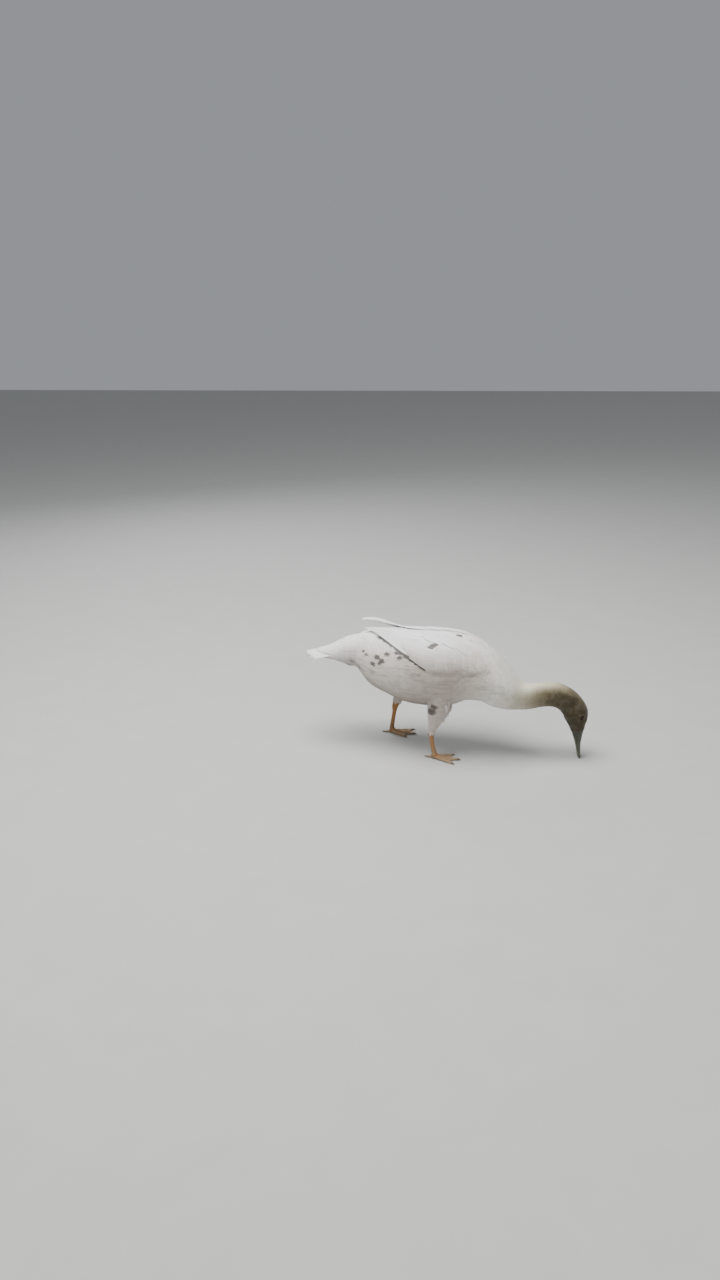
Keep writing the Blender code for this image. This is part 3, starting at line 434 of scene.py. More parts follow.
TAIL = limb(np.array([(x, 0, z, 0, 0, up / 1000, down / 1000, half / 1000)
                      for x, z, up, down, half in TAIL_GUIDE]), -1)
bm = bmesh.new()
add_loft(bm, skin_rings(BODY, 0, HEAD_END, SKIN_RINGS, SKIN_SIDES,
                        lambda at: by_share(PLUMAGE_DEPTH, at) / 1000))
around = np.arange(WEDGE_SIDES) / WEDGE_SIDES * TURN
add_loft(bm, [on_skin(TAIL, at, around, -WEDGE_DEPTH - WEDGE_DEPTH_ABOVE * np.cos(around))
              for at in np.linspace(*WEDGE_SECTIONS, WEDGE_RINGS)])
for thigh in THIGHS.values():
    add_loft(bm, skin_rings(thigh, 0, HOCK, THIGH_RINGS, THIGH_SIDES,
                            lambda at: np.interp(at, *THIGH_DEPTH)))
skin = join_by_voxels("skin", finish_mesh("skin_parts", bm), SKIN_VOXEL, SKIN_SMOOTHINGS)
print("skin faces:", len(skin.data.polygons))

# %% A soft groin, and search trees
TRUNK_ROWS, TRUNK_COLUMNS = 4, 3     # steps between the grid points that a tree holds
THIGH_ROWS, THIGH_COLUMNS = 6, 4


def grid_tree(part, rows, columns):
    """A search tree of a body part's skin points."""
    points = part["points"][::rows, ::columns].reshape(-1, 3)
    tree = kdtree.KDTree(len(points))
    for i, point in enumerate(points):
        tree.insert(point, i)
    tree.balance()
    return tree


TRUNK_TREE = grid_tree(BODY, TRUNK_ROWS, TRUNK_COLUMNS)
THIGH_TREES = [grid_tree(thigh, THIGH_ROWS, THIGH_COLUMNS) for thigh in THIGHS.values()]


def round_the_groin(made, reach=0.019, rounds=46, narrowing=0.75):
    """Smooths the crease between trunk and thighs, in a band that narrows round by round."""
    bm = bmesh.new()
    bm.from_mesh(made.data)
    near = {}
    for vert in bm.verts:
        thigh = min(tree.find(vert.co)[2] for tree in THIGH_TREES)
        if thigh < reach:
            away = max(thigh, TRUNK_TREE.find(vert.co)[2])
            if away < reach:
                near[vert] = 1 - away / reach
    for i in range(rounds):
        level = narrowing * i / rounds
        bmesh.ops.smooth_vert(bm, verts=[vert for vert, share in near.items() if share > level],
                              factor=0.5, use_axis_x=True, use_axis_y=True, use_axis_z=True)
    bm.to_mesh(made.data)
    bm.free()
    made.data.shade_smooth()


round_the_groin(skin)
SKIN_TREE = BVHTree.FromPolygons([vert.co for vert in skin.data.vertices],
                                 [face.vertices for face in skin.data.polygons])
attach(skin, "root")
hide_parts("torso", "neck_lower", "neck_upper", "head", "thigh_left", "thigh_right")
print("skin:", len(skin.data.polygons), "faces")

# %% [markdown]
# ## One feather
# Every feather is a thin closed vane: an upper and a lower face that meet at the rim, with the
# shaft raised between them. A flat card would have no thickness, and a solid block would look
# stiff. A grid is shaped to the outline once, in shares of its half width and length, and is
# then bent onto the body hundreds of times. The tip is notched, as real barbs split.

# %% Blank vanes
BLADE_THICK, SHAFT_HALF, SHAFT_FADE = 0.7, 0.12, 0.6     # shares of thickness, width and length
TIP_ROUNDING, FRAYED_SHARE, MOST_LEAN = 2.2, 0.45, 0.10


def blank_vane(columns, rows, root=0.30, widest=0.50, end=0.72, round_tip=0.16, split=0.0,
               shaft=0.0, kinds=4):
    """A closed feather in a few kinds, as points in shares of half width, length and thickness.

    root and end are the shares of the full width there, widest is the share of the length where
    it is full, split is how deep the tip is notched and shaft how far the shaft stands up.
    """
    bm = bmesh.new()
    bmesh.ops.create_grid(bm, x_segments=columns, y_segments=rows, size=1.0)
    rim = {vert for edge in bm.edges if edge.is_boundary for vert in edge.verts}
    rim_places = {(round(v.co.x, 4), round(v.co.y, 4)) for v in rim}
    under = bmesh.ops.duplicate(bm, geom=bm.verts[:] + bm.edges[:] + bm.faces[:])["geom"]
    bmesh.ops.reverse_faces(bm, faces=[f for f in under if isinstance(f, bmesh.types.BMFace)])
    lower = {v for v in under if isinstance(v, bmesh.types.BMVert)}
    for vert in bm.verts:
        on_rim = (round(vert.co.x, 4), round(vert.co.y, 4)) in rim_places
        vert.co.z = 0.0 if on_rim else (-0.5 if vert in lower else 0.5)
    bmesh.ops.remove_doubles(bm, verts=bm.verts, dist=1e-5)
    flat = np.array([v.co for v in bm.verts])
    index = {vert: i for i, vert in enumerate(bm.verts)}
    faces = np.array([[index[v] for v in face.verts] for face in bm.faces])
    bm.free()
    w, t, z = flat[:, 0], (flat[:, 1] + 1) / 2, flat[:, 2]
    grow = root + (1 - root) * np.sin(np.clip(t / widest, 0, 1) * math.pi / 2)
    fall = np.clip((t - widest) / (1 - widest), 0, 1)
    width = grow * (1 - (1 - end) * fall**TIP_ROUNDING)
    step = np.round((w + 1) / 2 * columns).astype(int)
    z = z * (BLADE_THICK + shaft * np.exp(-(w / SHAFT_HALF) ** 2) * (1 - SHAFT_FADE * t))
    shapes = []
    for kind in range(kinds):
        rng = np.random.default_rng(columns * 10 + kind)
        deep = rng.uniform(0.2, 1.0, columns + 1)
        frayed = deep * (rng.random(columns + 1) < FRAYED_SHARE) * split
        length = t * (1 - round_tip * np.abs(w) ** TIP_ROUNDING * t) - frayed[step] * (t > 0.99)
        lean = rng.uniform(-MOST_LEAN, MOST_LEAN)
        shapes.append(np.stack([w * width + lean * t**2, length, z], axis=1))
    return {"shapes": np.array(shapes), "flat": np.stack([w, t], axis=1), "faces": faces}


CONTOUR = blank_vane(8, 4, split=0.09, shaft=0.5)
SMALL = blank_vane(6, 3, widest=0.45, end=0.62, round_tip=0.20, split=0.12)
FINE = blank_vane(3, 3, root=0.45, widest=0.42, end=0.50, round_tip=0.20, split=0.10)
COVERT = blank_vane(10, 6, root=0.45, widest=0.50, end=0.70, round_tip=0.15, split=0.025, shaft=1.0)
QUILL = blank_vane(8, 16, root=0.45, widest=0.35, end=0.52, round_tip=0.07, split=0.008, shaft=2.2)
for word, vane in (("contour", CONTOUR), ("small", SMALL), ("fine", FINE), ("covert", COVERT),
                   ("quill", QUILL)):
    print(word, "vane:", 2 * len(vane["faces"]), "triangles")

# %% Laying feathers
CURL_FROM = 0.70             # the share of a feather's length where its curl starts


def lay(part, vane, at, angle, turn, length, width, sunk, raised, thick, lean=0.0, bow=0.0,
        ease=2.2, camber=0.0, curl=0.0, lift=None):
    """Bends a blank vane onto a body part for each root. Returns all points and their heights.

    turn swings a feather off the lie, towards the belly where positive. sunk and raised are the
    heights of root and tip off the skin, and ease is how soon it rises. lean raises a feather's
    lower edge, camber lowers both of its edges, curl lowers its tip, and bow bends it sideways.
    """
    kinds = np.arange(len(at)) * 7 // 3 % len(vane["shapes"])
    w, t, z = np.moveaxis(vane["shapes"][kinds], 2, 0)
    per_at, per_turn = metres_at(part, at, angle)
    side = np.sign(np.sin(angle) + 1e-9)[:, None]
    back = length[:, None] * t
    across = width[:, None] / 2 * w + (bow * width / 2)[:, None] * np.sin(math.pi * t)
    swing_cos, swing_sin = np.cos(turn)[:, None], np.sin(turn)[:, None]
    along = back * swing_cos - across * swing_sin
    around = back * swing_sin + across * swing_cos
    there = at[:, None] + part["way"] * along / per_at[:, None]
    swung = angle[:, None] + side * around / per_turn[:, None]
    height = (sunk[:, None] + (raised - sunk)[:, None] * (1 - (1 - t) ** ease)
              + thick[:, None] * z + (lean * width / 2)[:, None] * w
              - np.reshape(camber, (-1, 1)) * w**2
              - np.reshape(curl, (-1, 1)) * np.clip((t - CURL_FROM) / (1 - CURL_FROM), 0, 1) ** 2)
    if lift is not None:
        height = height + lift(np.interp(there, part["at"], part["x"]), width[:, None] / 2 * w)
    return on_skin(part, there, swung, height), height


# %% Joining feathers
PATCH = 0.003                # how wide a feather's patch is on the shared map
EDGE_ANGLE = 70              # degrees above which an edge stays sharp


def joined_feathers(name, vane, points, root_map, marks):
    """One mesh of all of the feathers, with its maps and its markings' attributes.

    root_map holds each root's place on the skin's unwrap, and marks the attribute values.
    """
    count, each = points.shape[:2]
    faces = (vane["faces"][None] + each * np.arange(count)[:, None, None]).reshape(-1, 4)
    mesh = bpy.data.meshes.new(name)
    mesh.vertices.add(count * each)
    mesh.vertices.foreach_set("co", points.reshape(-1).astype(np.float32))
    mesh.loops.add(faces.size)
    mesh.loops.foreach_set("vertex_index", faces.reshape(-1).astype(np.int32))
    mesh.polygons.add(len(faces))
    mesh.polygons.foreach_set("loop_start", np.arange(0, faces.size, 4, dtype=np.int32))
    mesh.update(calc_edges=True)
    patch = root_map[:, None] + PATCH * (vane["flat"] / (2, 1) - (0, 0.5))[None]
    own = np.tile(vane["flat"] / (2, 1) + (0.5, 0), (count, 1))
    for label, values in (("OFBake", patch.reshape(-1, 2)), ("vane", own)):
        layer = mesh.uv_layers.new(name=label)
        layer.data.foreach_set("uv", values[faces.reshape(-1)].reshape(-1).astype(np.float32))
    for label, values in marks.items():
        layer = mesh.attributes.new(label, "FLOAT", "POINT")
        spread = np.repeat(values, each) if values.ndim == 1 else values.reshape(-1)
        layer.data.foreach_set("value", spread.astype(np.float32))
    mesh.shade_smooth()
    mesh.set_sharp_from_angle(angle=math.radians(EDGE_ANGLE))
    made = bpy.data.objects.new(name, mesh)
    bpy.context.scene.collection.objects.link(made)
    return made


# %% [markdown]
# ## Markings
# The bird is pale silver above, greyer on breast and flank, and dark brown from the neck to the
# bill, with small dark spots on rump and wing. The darker breast, flank and belly are partly its
# own grey and partly painted shade, and the top of the neck carries a painted highlight. Painted
# shade lies under the tail, and a painted shadow along the wing's rear edge. Skin and feathers
# have to carry the same markings. They could be painted on an image, but an image would have to
# fit thousands of vanes. Instead each point stores how far along the body and how far round it
# lies, and how much of the spots and painted shade covers it, and the shaders turn those three
# numbers into colour.

# %% Places along and around, and spots
# Dark spots on rump and flank. The broad, faint ones more than 90 degrees round, under the rump and
# tail, are painted shade.
SPOTS_AND_SHADE = (                    # x, degrees from the back's middle (right is below 0), mm, strength
    (-0.1440, -65, 3.4, 0.9), (-0.1365, -69, 3.6, 0.8), (-0.1140, -69, 5.6, 1.0),
    (-0.1040, -74, 5.8, 1.0), (-0.1080, -79, 4.0, 0.7), (-0.1230, -83, 5.6, 0.8),
    (-0.0950, -60, 4.8, 0.8), (-0.0760, -55, 4.6, 0.75), (-0.0690, -62, 5.0, 0.8),
    (0.0315, -3, 4.6, 1.4), (0.0305, -8, 4.6, 1.4), (-0.1680, -112, 8.0, 0.5),
    (-0.1530, -112, 9.0, 0.5), (-0.1250, -100, 8.0, 0.4), (-0.1380, 71, 6.0, 0.9),
    (-0.1200, 62, 4.8, 0.85), (-0.1080, 76, 5.4, 0.85), (-0.0950, 66, 3.6, 0.65),
    (-0.1480, 95, 7.0, 0.4),
)
WING_SPOTS = ((-0.0128, -41.8, 4.2, 1.5), (-0.0088, -39.8, 4.8, 1.6), (-0.0046, -37.4, 4.0, 1.5),
              (0.0315, -3, 4.6, 1.4), (0.0305, -8, 4.6, 1.4))
FAR_WING_SPOTS = ((-0.0360, 27, 6.0, 0.85), (0.0120, 34, 5.0, 0.75), (-0.0700, 31, 4.2, 0.7))
EDGE_STEPS, EDGE_DARKER = range(-5, 19), 7
WING_EDGE_SHADOW = tuple(          # a painted shadow under the wing's rear edge, darker at its lower end
    (-0.040 - 0.0042 * i, side * (65.5 - 1.98 * i), *((5.0, 1.1) if i < EDGE_DARKER else (4.2, 0.8)))
    for i in EDGE_STEPS for side in (-1, 1))
SPOT_SQUEEZE = (0.75, 1, 1.15)       # a spot is drawn out along the body
SPOT_RIM = 1.4                       # where a spot fades to nothing, in radii


def spot_and_shade_mask(spots, place, part=BODY):
    """How much of the listed dark spots and painted shade covers each point, from 0 to 1."""
    mask = np.zeros(place.shape[:-1])
    for where, degrees, radius, strength in spots:
        at = place_of(where) if part is BODY else where
        middle = on_skin(part, at, math.radians(degrees))
        away = np.linalg.norm((place - middle) * SPOT_SQUEEZE, axis=-1)
        mask = np.maximum(mask, strength * np.clip(SPOT_RIM - away / (radius / 1000), 0, 1))
    return mask


def body_marks(at, angle):
    folded = np.abs((angle + math.pi) % TURN - math.pi) / math.pi
    # The spot value holds the dark spots, the painted shade under the tail and the painted shadow under
    # the wing's rear edge.
    return {"along": np.interp(at, BODY["at"], BODY["share"]), "around": folded,
            "spot": spot_and_shade_mask(SPOTS_AND_SHADE + WING_EDGE_SHADOW, on_skin(BODY, at, angle))}


def feather_spots_and_shade(spots, points, vane, part=BODY, drawn=0.4, hidden=0.6):
    """Spots and painted shade for every point of every feather, drawn towards the part of it that shows.

    hidden is the share of a feather's length that the next ones cover.
    """
    shown = points[:, vane["flat"][:, 1] > hidden].mean(axis=1, keepdims=True)
    return spot_and_shade_mask(spots, points * (1 - drawn) + shown * drawn, part)


def root_patch(part, at, angle, margin=0.004):
    """A root's place on the unwrap: angle across, and the way along the part up."""
    shares = np.stack([angle / TURN % 1.0, np.clip(at / part["last"], 0, 1)], axis=-1)
    return margin + (1 - 2 * margin) * shares


def nearest_marks(places):
    """The markings of the nearest place on the body, for each place."""
    each = len(range(0, GRID_AROUND, TRUNK_COLUMNS))
    index = np.array([TRUNK_TREE.find(place)[1] for place in places])
    return body_marks(BODY["at"][::TRUNK_ROWS][index // each],
                      index % each * TRUNK_COLUMNS / GRID_AROUND * TURN)


def mark_skin(made):
    for label, values in nearest_marks([vert.co for vert in made.data.vertices]).items():
        layer = made.data.attributes.new(label, "FLOAT", "POINT")
        layer.data.foreach_set("value", values.astype(np.float32))


mark_skin(skin)
print("spots on the body:", len(SPOTS_AND_SHADE), "and on the wings:", len(WING_SPOTS + FAR_WING_SPOTS))

# %% [markdown]
# ## Body feathers
# Contour feathers grow in staggered rows and lie towards the tail like shingles: about 21 mm
# long on the back, 4 mm on the cheek. A particle system could scatter them, but it can't keep
# the rows. So rows are walked from tail to bill with a spacing that shrinks on the way, each
# row shifted by half a feather, and every root, turn, length and width is varied a little. They
# are left out under the folded wings and round the eyes, where other feathers lie, and they are
# raised where they lap over the wing's front and lower edge.

# %% Sowing roots
SPACING = (                  # share of the path, and the space between roots in millimetres
    (0.0, 6.4), (0.06, 6.4), (0.13, 5.7), (0.22, 5.3), (0.50, 5.2), (0.60, 4.4), (0.69, 3.1),
    (0.80, 2.4), (0.86, 1.8), (0.92, 1.4), (0.96, 1.1), (1.0, 0.95),
)
EYE_BACK, EYE_RISE, EYE_SIDE, EYE_RADIUS = 0.029, 0.0085, 0.0150, 0.0052
EYES = {name: head_place(EYE_BACK, EYE_RISE, side * EYE_SIDE) for name, side in SIDES.items()}
FACE_REACH = (               # degrees from the forehead, and how far feathers run onto the bill, mm
    (0, 4.2), (14, 3.2), (34, 0.7), (62, 0.5), (92, 2.6), (118, 2.2), (140, 0.8), (166, 4.8),
    (180, 6.0),
)


SHIFT_ALONG, SHIFT_AROUND, FEWEST = 0.32, 0.28, 8


def sow(part, start, end, spacing, seed):
    """Staggered roots over a body part, as places along and angles round it."""
    rng = np.random.default_rng(seed)
    places, angles, at, row = [], [], start, 0
    while at < end:
        gap = float(spacing(at)) / 1000
        i = int(np.clip(at / part["last"] * (GRID_ALONG - 1), 0, GRID_ALONG - 1))
        girth = float(part["per_turn"][i].mean()) * TURN
        count = max(FEWEST, round(girth / gap))
        step = gap / float(part["per_at"][i].mean())
        places.append(at + step * rng.uniform(-SHIFT_ALONG, SHIFT_ALONG, count))
        shift = 0.5 * (row % 2) + rng.uniform(-SHIFT_AROUND, SHIFT_AROUND, count)
        angles.append((np.arange(count) + shift) / count * TURN)
        at += step
        row += 1
    at = np.clip(np.concatenate(places), 0, part["last"])
    return at, np.concatenate(angles) % TURN


# %% Keeping clear of eyes, bill and trunk
EDGE_WANDER = 0.5            # how far the feathered edge on the bill wavers, in millimetres


def clear_of_eyes(points, reach):
    """Which feathers keep that far from both eyes' middles."""
    clear = np.ones(len(points), bool)
    for eye in EYES.values():
        away = np.linalg.norm(points - np.array(eye), axis=2).min(axis=1)
        clear &= away > reach
    return clear


def beyond_face(at, angle):
    """Which roots lie in front of the feathered edge at the bill's base."""
    table = np.array(FACE_REACH)
    folded = np.degrees(np.abs((angle + math.pi) % TURN - math.pi))
    wander = np.sin(at * 91.0 + folded * 3.7) * EDGE_WANDER
    reach = (np.interp(folded, table[:, 0], table[:, 1]) + wander) / 1000
    per_at, _ = metres_at(BODY, np.full(len(at), HEAD_END - 0.2), angle)
    return at > HEAD_END + reach / per_at


def settle(points, above, deepest=0.009):
    """Lifts feathers onto the joined skin where trunk and thigh meet.

    above is each point's height over the skin. Also says which feathers aren't buried.
    """
    flat, want = points.reshape(-1, 3).copy(), above.reshape(-1)
    depth = np.zeros(len(flat))
    for i, (point, height) in enumerate(zip(flat, want)):
        near, out, _, _ = SKIN_TREE.find_nearest(point)
        depth[i] = (Vector(point) - near).dot(out)
        if depth[i] < height:
            flat[i] = Vector(point) + out * (height - depth[i])
    return flat.reshape(points.shape), depth.reshape(above.shape).min(axis=1) > -deepest


def near_thighs(points, reach=0.024):
    return np.array([min(tree.find(middle)[2] for tree in THIGH_TREES) < reach
                     for middle in points.mean(axis=1)])


def window(value, low, high, soft):
    """1 between low and high, falling to 0 over the soft width on both sides."""
    return np.clip((value - low) / soft + 1, 0, 1) * np.clip((high - value) / soft + 1, 0, 1)


# %% One stretch of plumage
FEATHER_LONG, FEATHER_WIDE = 4.0, 2.0        # in spaces between the roots
TIP_RISE, TIP_SPREAD, TIP_EASE = 0.040, 0.018, 3.2
EDGES_FALL, TIP_CURL = 0.05, 0.035           # in spaces too
ROOT_DEPTH, BILL_ROOT_DEPTH = 1.2, 0.4       # in depths of the plumage
LAP_EDGE_RISE, LAP_FRONT_RISE, LAP_BILL_RISE = 0.0017, 0.0009, 0.0001
LAP_TURN, TURN_SPREAD = 16, 5                # degrees
UNDER_WING, UNDER_WING_X = (0.14, 0.84), (-0.080, 0.062)


def body_plumage(name, vane, start, end, seed, thickness):
    """One stretch of the body's feathers as a piece."""
    at, angle = sow(BODY, start, end, lambda p: by_share(SPACING, p), seed)
    x = np.interp(at, BODY["at"], BODY["x"])
    under = wing_share(x, np.degrees(angle))
    level = at < NECK_FIRST
    hidden = level & (under > UNDER_WING[0]) & (under < UNDER_WING[1])
    hidden &= (x > UNDER_WING_X[0]) & (x < UNDER_WING_X[1])
    hidden |= beyond_face(at, angle)
    at, angle, x, under, level = (row[~hidden] for row in (at, angle, x, under, level))
    rng = np.random.default_rng(seed + 1)
    gap = by_share(SPACING, at) / 1000
    depth = by_share(PLUMAGE_DEPTH, at) / 1000
    count = len(at)
    over_edge = level * window(x, -0.030, 0.070, 0.012) * window(under, 1.02, 1.16, 0.05)
    over_front = level * window(x, 0.074, 0.094, 0.006) * window(under, -0.3, 1.2, 0.2)
    on_bill = np.clip((at - HEAD_END + 0.4) * 2, 0, 1)
    length = gap * FEATHER_LONG * rng.uniform(0.82, 1.18, count)
    width = gap * FEATHER_WIDE * rng.uniform(0.9, 1.1, count)
    turn = np.radians(rng.normal(0, TURN_SPREAD, count) - LAP_TURN * over_edge)
    raised = (gap * (TIP_RISE + TIP_SPREAD * rng.uniform(-1, 1, count))
              + LAP_EDGE_RISE * over_edge + LAP_FRONT_RISE * over_front + LAP_BILL_RISE * on_bill)
    sunk = LAP_BILL_RISE * on_bill - depth * (ROOT_DEPTH + (BILL_ROOT_DEPTH - ROOT_DEPTH) * on_bill)
    points, height = lay(BODY, vane, at, angle, turn, length, width, sunk, raised,
                         np.full(count, thickness), ease=TIP_EASE, camber=gap * EDGES_FALL,
                         curl=gap * TIP_CURL)
    clear = clear_of_eyes(points, EYE_RADIUS)
    groin = near_thighs(points) if start < NECK_FIRST - 1 else np.zeros(count, bool)
    if groin.any():
        above = height + depth[:, None]
        points[groin], clear[groin] = settle(points[groin], above[groin])
    at, angle, points, count = at[clear], angle[clear], points[clear], int(clear.sum())
    # Spots on the feathers, with the painted shade under the tail and the painted shadow under the
    # wing's rear edge.
    marks = body_marks(at, angle) | {"spot": feather_spots_and_shade(SPOTS_AND_SHADE + WING_EDGE_SHADOW, points, vane),
                                     "shade": rng.uniform(-1, 1, count)}
    made = joined_feathers(name, vane, points, root_patch(BODY, at, angle), marks)
    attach(made, "root")
    print(name, "feathers:", count, "triangles:", count * 2 * len(vane["faces"]))
    return made


# %% Contour feathers on rump, trunk, breast, neck and head
STRETCHES = (                # name, blank, where it starts, slot, thickness in metres
    ("rump", CONTOUR, 0.35, "body_feathers", 0.00022),
    ("loin", CONTOUR, float(place_of(-0.136)), "body_feathers", 0.00022),
    ("trunk", CONTOUR, float(place_of(-0.060)), "body_feathers", 0.00022),
    ("shoulder", CONTOUR, float(place_of(0.030)), "body_feathers", 0.00022),
    ("breast", CONTOUR, float(place_of(0.084)), "body_feathers", 0.00020),
    ("neck", SMALL, NECK_FIRST - 0.6, "neck_feathers", 0.00016),
    ("head", SMALL, HEAD_FIRST - 0.4, "head_feathers", 0.00013),
    ("face", FINE, HEAD_FIRST + 2.0, "head_feathers", 0.00011),
)
STRETCH_ENDS = [stretch[2] for stretch in STRETCHES[1:]] + [HEAD_END + 1.2]
FIRST_SEED, BODY_STRETCHES = 21, 5   # the first five stretches are body, the others neck and head
plumage = [body_plumage(f"{name}_feathers", vane, start, end, FIRST_SEED + i, thickness)
           for i, ((name, vane, start, slot, thickness), end) in enumerate(zip(STRETCHES, STRETCH_ENDS))]

# %% [markdown]
# ## Thigh feathers
# They lie down the leg and end at the hock in a ragged cuff, whose tips stand off the bare heel.
# A tuft of longer ones hangs off the front. Those that would lie deep inside the trunk are
# dropped, since nothing of them shows.

# %% Thighs
THIGH_SPACING = ((0.0, 5.0), (3.0, 4.0), (4.2, 2.7), (5.0, 2.1))
TUFT, TUFT_SECTIONS, TUFT_DEGREES = 56, (1.0, 2.7), (-12, 50)
TUFT_LONG, TUFT_WIDE, TUFT_SUNK = 0.022, 0.0062, 0.0050
GOLDEN = 0.618               # spreads places evenly without rows
CUFF_ROOTS, CUFF_TIPS = 0.06, 0.22   # sections before the bare skin, and past it
LOWER_LEG = {"along": 0.36, "around": 0.50}    # the markings that the leg takes on further down
THIGH_SPOTS = {              # section, degrees from the front, radius in mm, strength
    "right": ((2.10, -124, 8.4, 1.0), (1.72, -108, 7.0, 0.8)), "left": ((2.0, 125, 7.0, 0.6),),
}


def thigh_plumage(name, seed):
    part = THIGHS[name]
    table = np.array(THIGH_SPACING)
    stop = BARE_FROM[name] - CUFF_ROOTS
    at, angle = sow(part, 0.3, stop, lambda p: np.interp(p, table[:, 0], table[:, 1]), seed)
    rng = np.random.default_rng(seed + 1)
    ragged = 0.22 * rng.random(len(at)) ** 2 + 0.10 * (1 + np.sin(3 * angle + seed))
    kept = at < stop - ragged
    at, angle = at[kept], angle[kept]
    count = len(at)
    gap = np.interp(at, table[:, 0], table[:, 1]) / 1000
    depth = np.interp(at, *THIGH_DEPTH)
    room = (stop + CUFF_TIPS - at) * metres_at(part, at, angle)[0]
    room += rng.uniform(-0.0030, 0.0044, count)
    length = np.minimum(gap * 3.6 * rng.uniform(0.85, 1.15, count), np.maximum(room, gap * 1.5))
    over_heel = np.clip(1 - (stop - at) / 0.8, 0, 1)
    points, height = lay(part, CONTOUR, at, angle, np.radians(rng.normal(0, 7, count)), length,
                         gap * 1.8 * rng.uniform(0.85, 1.15, count), -depth * 1.2,
                         0.0003 + 0.0002 * rng.uniform(-1, 1, count) + 0.0013 * over_heel,
                         np.full(count, 0.0002), ease=3.0, camber=gap * EDGES_FALL,
                         curl=gap * 0.03)
    points, shown = settle(points, height + depth[:, None])
    at, angle, points = at[shown], angle[shown], points[shown]
    number = np.arange(TUFT)
    tuft_at = TUFT_SECTIONS[0] + (TUFT_SECTIONS[1] - TUFT_SECTIONS[0]) * number / TUFT
    spread = TUFT_DEGREES[0] + (TUFT_DEGREES[1] - TUFT_DEGREES[0]) * (number * GOLDEN % 1.0)
    tuft_angle = np.radians(SIDES[name] * spread)
    tuft, _ = lay(part, CONTOUR, tuft_at, tuft_angle, np.radians(rng.normal(0, 9, TUFT)),
                  TUFT_LONG * rng.uniform(0.75, 1.1, TUFT), TUFT_WIDE * rng.uniform(0.8, 1.1, TUFT),
                  np.full(TUFT, -TUFT_SUNK), 0.0004 + 0.0032 * rng.random(TUFT)**1.4,
                  np.full(TUFT, 0.0002), ease=1.7, camber=0.0007, curl=0.0006)
    at, angle, points = np.r_[at, tuft_at], np.r_[angle, tuft_angle], np.concatenate([points, tuft])
    count = len(at)
    marks = nearest_marks(points.mean(axis=1))
    lower = np.clip((at - 0.8) / 2.2, 0, 1)
    for label, value in LOWER_LEG.items():
        marks[label] = marks[label] * (1 - lower) + value * lower
    marks["around"][-TUFT:] = rng.uniform(0.26, 0.46, TUFT)
    marks["spot"] = feather_spots_and_shade(THIGH_SPOTS[name], points, CONTOUR, part)
    marks["shade"] = rng.uniform(-1, 1, count)
    made = joined_feathers(f"thigh_feathers_{name}", CONTOUR, points,
                           root_patch(part, at, angle), marks)
    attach(made, "root")
    print(made.name, "feathers:", count)
    return made


thighs = [thigh_plumage(name, seed) for name, seed in (("left", 31), ("right", 41))]

# %% [markdown]
# ## Wing feathers
# A folded wing shows its feathers in tiers, and each tier covers the roots of the one behind:
# small marginal coverts at the bend, lesser, median and greater coverts, then the secondaries
# and the long primaries whose tips reach back over the rump. Tertials and scapulars lie on top.
# Every feather could be placed by hand, but a tier's feathers step evenly, so each tier is set
# by its lowest and its highest feather, and the rest are spaced between.

# %% Tiers of the wing
WING_TIERS = (               # blank, count, lowest root and tip, highest root and tip as x and
    # degrees, width in mm, heights of root and tip in mm, rise from one to the next in mm
    (QUILL, 8, (-0.030, 63), (-0.152, 7.5), (-0.045, 38), (-0.106, 12), 12.0, -0.6, 1.7, 0.34),
    (QUILL, 12, (0.004, 80), (-0.051, 57), (-0.008, 30), (-0.092, 19), 13.0, -0.8, 2.0, -0.03),
    (COVERT, 13, (0.018, 81), (-0.018, 79.5), (0.010, 25), (-0.040, 21), 16.5, -0.9, 1.50, 0.01),
    (COVERT, 13, (0.034, 80), (0.004, 81.5), (0.028, 26), (-0.012, 21.5), 16.0, -1.0, 1.25, 0.01),
    (COVERT, 14, (0.047, 78), (0.021, 81), (0.041, 26), (0.008, 21.5), 14.5, -1.0, 1.00, 0.01),
    (COVERT, 14, (0.058, 76), (0.035, 79.5), (0.053, 29), (0.024, 23.5), 13.5, -1.0, 0.80, 0.01),
    (COVERT, 13, (0.066, 70), (0.047, 75), (0.062, 33), (0.038, 27), 12.5, -1.0, 0.55, 0.01),
    (COVERT, 12, (0.074, 64), (0.057, 69), (0.069, 38), (0.050, 31), 11.5, -1.1, 0.35, 0.01),
    (COVERT, 10, (0.081, 58), (0.066, 63), (0.076, 43), (0.060, 36), 10.5, -1.2, 0.15, 0.01),
    (QUILL, 5, (0.004, 30), (-0.100, 19.5), (-0.008, 14), (-0.076, 8), 17.0, -0.4, 2.6, 0.22),
    (COVERT, 7, (0.028, 34), (-0.032, 26), (0.018, 15), (-0.038, 10), 17.0, -0.8, 2.9, 0.04),
    (COVERT, 7, (0.050, 38), (0.002, 30), (0.040, 18), (-0.008, 12), 16.5, -0.9, 2.6, 0.04),
    (COVERT, 7, (0.070, 43), (0.028, 35), (0.060, 22), (0.018, 14), 15.5, -1.0, 2.0, 0.03),
    (COVERT, 7, (0.086, 48), (0.052, 40), (0.078, 26), (0.042, 18), 14.0, -1.1, 1.1, 0.02),
)
TIER_BOW, TIER_LEAN = {0: -0.5, 1: -0.25, 9: -0.2}, {1: 0.06}
PLAIN_BOW, PLAIN_LEAN = 0.0, 0.05           # in the tiers that the two tables don't name
LIFT_FROM, LIFT_OVER = -0.080, 0.070        # x where the tips start to lift off, and over how far
TIP_LIFT = {"left": 0.022, "right": 0.008}
TIP_LEAN = {"left": 0.75, "right": 0.15}    # how far the tips turn to show their upper side


